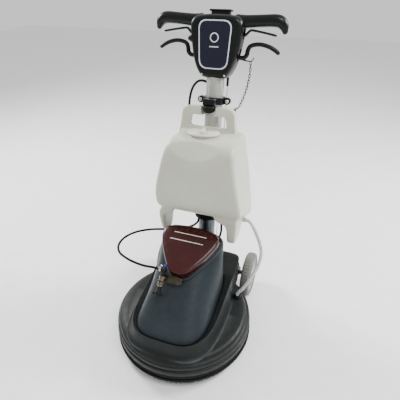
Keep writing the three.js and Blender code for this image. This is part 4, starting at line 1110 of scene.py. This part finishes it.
def make_tank():
    body = on_column("tank", loft(refined(
        [[(x + (right - left) / 2, y, s - fall * (y + 100))
          for x, y in rounded_rectangle((left + right) / 2, front, rear, 13)]
         for s, left, right, front, rear, fall in TANK_ROWS], 3)), TANK_PLASTIC)
    parts = []
    for side in (-1, 1):
        rings = []
        for s, inner, left, right, front, rear in LEG_ROWS:
            outer = left if side < 0 else right
            rings.append([
                (side * ((outer + inner) / 2 + x), y, s)
                for x, y in rounded_rectangle((outer - inner) / 2, front, rear, 6.5, 4)
            ])
        parts.append(on_column("leg", loft(refined(rings, 3)), TANK_PLASTIC))
    arch = rounded([
        (-99, 482), (-91, 520), (-85, 579), (85, 579), (91, 520), (104, 476),
    ], 34, 8)
    handle = on_column("arch", slab([(x, z) for x, z in arch], -59, -31, 0), TANK_PLASTIC)
    window = on_column("window", slab([(x, z) for x, z in rounded(
        [(-64, 514), (-58, 553), (58, 553), (64, 514)], 11, 6, True)], -90, -10, 0), TANK_PLASTIC)
    carve(handle, window)
    parts.append(handle)
    parts.append(on_column("neck", moved(lathe([
        (0, 470), (47, 470), (47, LID_LOW - 0.4), (0, LID_LOW - 0.4)], 64, 1), 0, LID_Y), TANK_PLASTIC))
    parts.append(on_column("outlet", moved(lathe([(0, 200), (9, 200), (11, 300), (0, 300)], 32, 3),
                                           136, -30), TANK_PLASTIC))
    carve(body, *parts, operation="UNION")
    groove = on_column("groove", lathe([
        (0, 130), (31.4, 130), (31.4, 620), (0, 620),
    ], 64, 0), TANK_PLASTIC)
    back = on_column("back", box((-31.2, -2, 130), (31.2, 60, 620), 0), TANK_PLASTIC)
    seat = on_column("seat", moved(lathe([(0, 540), (24, 560), (24, 620), (0, 620)], 48, 0),
                                   0, KNOB_Y), TANK_PLASTIC)
    arm = on_column("arm", box((-23, -70, 574), (23, -20, 640), 0), TANK_PLASTIC)
    lean = Matrix.Translation((0, -145, 505)) @ Matrix.Rotation(math.radians(-33), 4, "X")
    recess = on_column("recess", shifted(moved(lathe([
        (0, -110), (350, -110), (350, 60), (0, 60)], 360, 0), 0, -350), lean), TANK_PLASTIC)
    width = on_column("width", shifted(box((-72, -200, -120), (80, 80, 70), 0), lean), TANK_PLASTIC)
    carve(recess, width, operation="INTERSECT")
    carve(body, groove, back, seat, arm, recess)
    remesh = body.modifiers.new("remesh", "REMESH")
    remesh.mode = "VOXEL"
    remesh.voxel_size = 0.0025
    remesh.use_smooth_shade = True
    smooth = body.modifiers.new("smooth", "SMOOTH")
    smooth.iterations = 3
    smooth.factor = 0.5
    settle(body, 60)
    body.name = "tank"
    stub = on_column("stub", moved(along_x(lathe([(4, 134), (8, 134), (8, 152), (4, 152)], 40, 0.8)),
                                   0, -30, 205), TANK_PLASTIC)
    merge("tank", body, stub)
    piece(body, "handle", "solution_tank", slot="tank_plastic")

    def knurl(angle, r, z):
        return -0.9 if r > 51 and round(angle / (2 * math.pi) * 240) % 4 == 0 else 0

    lid = on_column("lid", moved(lathe([
        (0, LID_LOW), (50, LID_LOW), (52, LID_LOW + 1.4), (52, LID_LOW + 5.6), (49, LID_LOW + 8),
        (43, LID_LOW + 9), (0, LID_LOW + 9.6),
    ], 240, 1, knurl), 0, LID_Y), LID_PLASTIC)
    grip = on_column("lid_grip", moved(shifted(
        box((-8, -43, LID_LOW + 6), (8, 43, LID_LOW + 16), 3.4, 4), Matrix.Rotation(0.25, 4, "Z")),
        0, LID_Y), LID_PLASTIC)
    merge("lid", lid, grip)
    piece(lid, "tank_cap", "tank_cap", slot="tank_plastic")


# ---- control head ----

HEAD_SIDE = [
    (0, 662), (24, 662), (42, 667), (57, 688), (68, 718), (76, 758), (82, 804), (80, 825),
    (66, 838), (34, 843), (0, 844),
]


def head_ring(y, scale):
    """The head's shield outline at a depth, scaled about its middle."""
    side = curve_through([(x, s, 0) for x, s in HEAD_SIDE], 6)
    middle = (HEAD_LOW + HEAD_HIGH) / 2
    outline = [(p.x, p.y) for p in side] + [(-p.x, p.y) for p in reversed(side[1:-1])]
    return [(x * scale, y, middle + (s - middle) * scale) for x, s in outline]


def lever_slots():
    slots = []
    for side in (-1, 1):
        for (x, s), down, up in ((UPPER_PIVOT, 12, 22), (LOWER_PIVOT, 11, 24)):
            left, right = sorted((side * (x - 12), side * (x + 40)))
            slots.append(on_column("slot", box(
                (left, -11, s - down), (right, 9, s + up), 3, 3,
            ), BLACK_PLASTIC))
    return slots


def tube_bore():
    return on_column("bore", lathe([(0, 600), (TUBE_R + 0.4, 600), (TUBE_R + 0.4, 706), (0, 706)],
                                   96, 0), BLACK_PLASTIC)


def make_head():
    front_rows = ((-4.2, 1.0), (-12, 0.997), (-20, 0.985), (-26.5, 0.966), (-31, 0.942),
                  (-34, 0.912), (-35.6, 0.875), (-36, 0.83))
    rear_rows = ((-3.8, 1.0), (8, 1.0), (18, 0.99), (26, 0.965), (31.5, 0.93), (34.6, 0.885),
                 (36, 0.82))
    front = on_column("shell_front", loft([head_ring(y, k) for y, k in front_rows]), BLACK_PLASTIC)
    holes = [
        on_column("hole", moved(along_y(lathe([
            (0, -60), (4.4, -60), (4.4, -31.5), (0, -31.5),
        ], 32, 0)), side * HEAD_SCREW[0], 0, HEAD_SCREW[1]), BLACK_PLASTIC)
        for side in (-1, 1)
    ]
    carve(front, tube_bore(), *lever_slots(), *holes)
    y, s = BUTTON_AT
    barrel = on_column("barrel", moved(along_x(lathe([
        (0, -52), (10.5, -52), (10.5, -78), (7.6, -78), (7.6, -55.5), (0, -55.5),
    ], 48, 0.8)), 0, y, s), BLACK_PLASTIC)
    merge("shell_front", front, barrel)
    piece(front, "handle", "head_front_shell", slot="black_plastic")
    rear = on_column("shell_rear", loft([head_ring(y, k) for y, k in rear_rows]), BLACK_PLASTIC)
    carve(rear, tube_bore(), *lever_slots())
    ferrule = on_column("ferrule", moved(lathe([
        (1.6, 638), (3.2, 638), (4, 641), (4, 672), (1.6, 672),
    ], 32, 0.5), 36, 16), DARK_BLACK)
    merge("shell_rear", rear, ferrule)
    piece(rear, "handle", "head_rear_shell", slot="black_plastic")
    button = on_column("button", moved(along_x(lathe([
        (0, -62), (7, -62), (7, -82.5), (5.6, -86), (0, -87.2),
    ], 48, 1.2)), 0, y, s), DARK_BLACK)
    piece(button, "safety_button", "safety_button", slot="black_plastic")


def panel_ring(inset, y):
    """The panel's outline at a depth, drawn in by an inset."""
    corners = [
        (-45 + inset, 690 + inset), (45 - inset, 690 + inset),
        (52.4 - inset, 827 - inset), (-52.4 + inset, 827 - inset),
    ]
    return [(x, y, s) for x, s in rounded(corners, 27 - inset * 0.6, 10, True)]


def make_panel():
    rings = [panel_ring(inset, y) for inset, y in (
        (0, -35.4), (0, -36.6), (0.4, -37.6), (1.2, -38.1), (2.4, -38.1), (3.3, -37.6),
        (3.6, -36.8), (3.6, -35.4), (0, -35.4),
    )]
    bezel = on_column("bezel", loft(rings, (False, False)), BEZEL_PLASTIC)
    piece(bezel, "handle", "panel_bezel", slot="pale_plastic")
    film = on_column("film", loft([panel_ring(inset, y) for inset, y in (
        (3.8, -35.4), (3.8, -36.6), (4.4, -36.9), (9, -37.2), (16, -37.4), (26, -37.5),
    )]), PANEL_FILM)
    emblem_at = Matrix.Translation((0, -37.8, 779))
    emblem = on_column("emblem", shifted(along_y(lathe([
        (10.5, -0.4), (13.5, -0.4), (13.5, 0.2), (10.5, 0.2)], 64, 0.1)), emblem_at), BEZEL_PLASTIC)
    line = on_column("emblem_line", box((-14, -38.2, 752), (14, -37.6, 755), 0.2), BEZEL_PLASTIC)
    merge("film", film, emblem, line)
    piece(film, "handle", "control_panel", slot="panel_film")
    for side, word in SIDES:
        screw = on_column("screw_" + word, moved(along_y(lathe([
            (0, -34), (2.6, -34), (4, -32.6), (4, -31.6), (2, -31.6), (2, -12), (0, -12),
        ], 32, 0.5)), side * HEAD_SCREW[0], 0, HEAD_SCREW[1]), BRIGHT)
        piece(screw, "handle", "head_screw_" + word, slot="chrome")


def make_grips():
    stations = [
        (58, 824, 22), (70, 825, 19.6), (84, 826, 18.2), (110, 828, 17.2), (140, 830, 17),
        (166, 831, 17.4), (180, 829, 17.4), (189, 823, 16), (195, 814, 13), (198.5, 804, 8.5),
    ]
    for side, word in SIDES:
        grip = on_column("grip_" + word, bar(
            [(side * x, s, r) for x, s, r in stations], 6, 1.05, 40,
        ), BLACK_PLASTIC)
        piece(grip, "handle", "hand_grip_" + word, slot="black_plastic")
    top = on_column("top", box((-34, 4, 852), (34, 34, 857.5), 1.6, 3), BLACK_PLASTIC)
    step = on_column("step", box((-29, 8, 836), (29, 30, 854), 2, 3), BLACK_PLASTIC)
    merge("top", top, step)
    piece(top, "handle", "top_plate", slot="black_plastic")


def lever(name, pivot, stations, side, flatness, body, node, *extra):
    x, s = pivot
    arm = on_column(name, bar(
        [(side * (x + a), s + b, r) for a, b, r in stations], -1, flatness, 28,
    ), BLACK_PLASTIC)
    boss = on_column("boss", moved(along_y(lathe([
        (3.3, -7), (9, -7), (9, 6), (3.3, 6)], 40, 1)), side * x, 0, s), BLACK_PLASTIC)
    merge(name, arm, boss, *extra)
    piece(arm, body, node, slot="black_plastic")


def make_levers():
    upper = [
        (6, -2, 4.8), (14, -4, 4.4), (24, 2, 4), (33, 11, 3.8), (42, 13, 3.6), (76, 8, 3.4),
        (104, 3, 3.4), (111, 1.6, 3),
    ]
    lower = [
        (7, -0.6, 6.5), (16, -1, 6.5), (28, 0, 6.6), (36, 8, 6.8), (38, 20, 6.8), (43, 31, 6.6),
        (55, 37, 6.4), (76, 39, 6.3), (100, 34, 6.3), (118, 26, 6.3), (129, 18.6, 6),
    ]
    x, s = LOWER_PIVOT
    hook = on_column("hook", bar([
        (x + 14, s - 3, 3), (x + 30, s - 7, 2.4), (x + 44, s - 9, 1.8), (x + 52, s - 8, 1.6),
        (x + 57, s - 3, 1.5), (x + 57, s + 2, 1.2),
    ], -1, 1, 16), DARK_BLACK)
    lever("lever_upper_left", UPPER_PIVOT, upper, -1, 1.5, "switch_lever_left", "switch_lever_left")
    lever("lever_upper_right", UPPER_PIVOT, upper, 1, 1.5, "switch_lever_right", "switch_lever_right")
    lever("lever_tilt", LOWER_PIVOT, lower, -1, 1, "tilt_lever", "tilt_lever")
    lever("lever_water", LOWER_PIVOT, lower, 1, 1, "water_lever", "water_lever", hook)


# ---- what the levers pull ----

CHAIN_ROUTE = [
    (0.108, -0.001, 0.7165), (0.109, 0.0, 0.690), (0.107, -0.002, 0.660), (0.102, -0.006, 0.630),
    (0.094, -0.012, 0.600), (0.086, -0.019, 0.580), (0.078, -0.026, 0.577),
]


def make_chain():
    """Small welded links, each turned a quarter against the one before."""
    path = route([COLUMN @ Vector(p) for p in CHAIN_ROUTE], 0.0088)
    links = []
    for i, (start, end) in enumerate(zip(path, path[1:])):
        along = (end - start).normalized()
        side = along.orthogonal().normalized()
        side = Matrix.Rotation(math.radians(90 * (i % 2) + 20), 3, along) @ side
        middle, half = (start + end) / 2, (end - start).length / 2 + 0.0010
        ring = []
        for k in range(20):
            angle = 2 * math.pi * k / 20
            flat = along * math.copysign(half - 0.0026, math.cos(angle))
            around = along * 0.0026 * math.cos(angle) + side * 0.0026 * math.sin(angle)
            ring.append(middle + flat + around)
        rings = []
        across = along.cross(side)
        for k, point in enumerate(ring):
            ahead = (ring[(k + 1) % 20] - ring[k - 1]).normalized()
            out = ahead.cross(across).normalized()
            rings.append([
                point + (out * math.cos(a) + across * math.sin(a)) * 0.0012
                for a in (2 * math.pi * m / 8 for m in range(8))
            ])
        links.append(mesh_object("link", *loft([*rings, rings[0]], (False, False)), CHAIN_STEEL, ROW))
    merge("chain", *links)
    piece(links[0], "valve_rod", "water_chain", slot="chrome")


def make_pull_rods():
    rod = on_column("rod", moved(lathe([(0, 513), (2.5, 513), (2.5, 572), (0, 572)], 24, 0.8),
                                 72, -24), DULL_STEEL)
    cross = on_column("cross", moved(along_x(lathe([(0, -9), (3, -9), (3, 9), (0, 9)], 24, 0.8)),
                                     72, -24, 572), DULL_STEEL)
    merge("rod", rod, cross)
    piece(rod, "valve_rod", "valve_rod", slot="dark_steel")
    wire = on_column("release", moved(lathe([(0, 78), (1.2, 78), (1.2, 676), (0, 676)], 16, 0.4),
                                      36, 16), BRIGHT)
    pin = on_column("release_pin", moved(lathe([
        (0, 63), (3, 63), (4, 65), (4, 96), (0, 96),
    ], 32, 0.8), 44, 0), BRIGHT)
    yoke = on_column("yoke", box((34, -3, 84), (46, 18, 92), 1.2), DULL_STEEL)
    merge("release", wire, pin, yoke)
    piece(wire, "lock_pin", "lock_pin", slot="chrome")


# ---- CAD nodes that keep their shape ----

KEPT = {
    "rear_bracket": DULL_STEEL, "lock_quadrant": DULL_STEEL, "motor_housing": CAST,
    "gearbox_housing": CAST, "start_capacitor": RUBBER, "motor_rotor": DULL_STEEL,
    "drive_hub": DULL_STEEL, "head_frame": DULL_STEEL, "switch_box": HUB_PLASTIC,
}


def finish_kept_nodes():
    """Gives the carried-over nodes their materials, and the two plain plates softer edges."""
    for name, material in KEPT.items():
        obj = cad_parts[name]
        for index in range(len(obj.material_slots)):
            obj.material_slots[index].material = material
        if name in ("rear_bracket", "lock_quadrant"):
            bevel = obj.modifiers.new("soft_edges", "BEVEL")
            bevel.width = 0.0008
            bevel.segments = 2
            bevel.limit_method = "ANGLE"
            bevel.angle_limit = math.radians(40)


# ---- studio ----

def area_light(name, place, target, size, power):
    data = bpy.data.lights.new(name, "AREA")
    data.shape = "DISK"
    data.size = size
    data.energy = power
    light = bpy.data.objects.new(name, data)
    light.location = place
    light.rotation_mode = "QUATERNION"
    light.rotation_quaternion = (Vector(target) - Vector(place)).to_track_quat("-Z", "Y")
    bpy.context.scene.collection.objects.link(light)


def make_studio():
    floor_size = 6000
    corners = ((-1, -1), (1, -1), (1, 1), (-1, 1))
    paint = moulded("floor_paint", rgb(238, 238, 237), rgb(244, 244, 243), 0.6, 0.0)
    floor = mesh_object("floor", *loft([
        [(x * floor_size, y * floor_size, z) for x, y in corners] for z in (-0.2, -2)
    ]), paint, Matrix())
    world = bpy.data.worlds.new("studio")
    world.use_nodes = True
    background = world.node_tree.nodes["Background"]
    background.inputs["Color"].default_value = (1, 1, 1, 1)
    background.inputs["Strength"].default_value = 0.9
    bpy.context.scene.world = world
    area_light("key", (-2.0, 0.7, 1.9), (0, 0, 0.3), 0.8, 85)
    area_light("side", (1.7, 1.1, 1.8), (0, 0, 0.4), 0.8, 75)
    area_light("top", (1.0, -0.6, 2.8), (0, 0, 0.3), 1.2, 44)


make_camera()
make_cords()
make_studio()
make_shroud()
make_cover()
make_brush()
for side, word in SIDES:
    make_wheel(side, word)
make_axle()
make_nozzle()
make_deck_fittings()
make_column()
make_clamp()
make_tank()
make_head()
make_panel()
make_grips()
make_levers()
make_chain()
make_pull_rods()
finish_kept_nodes()
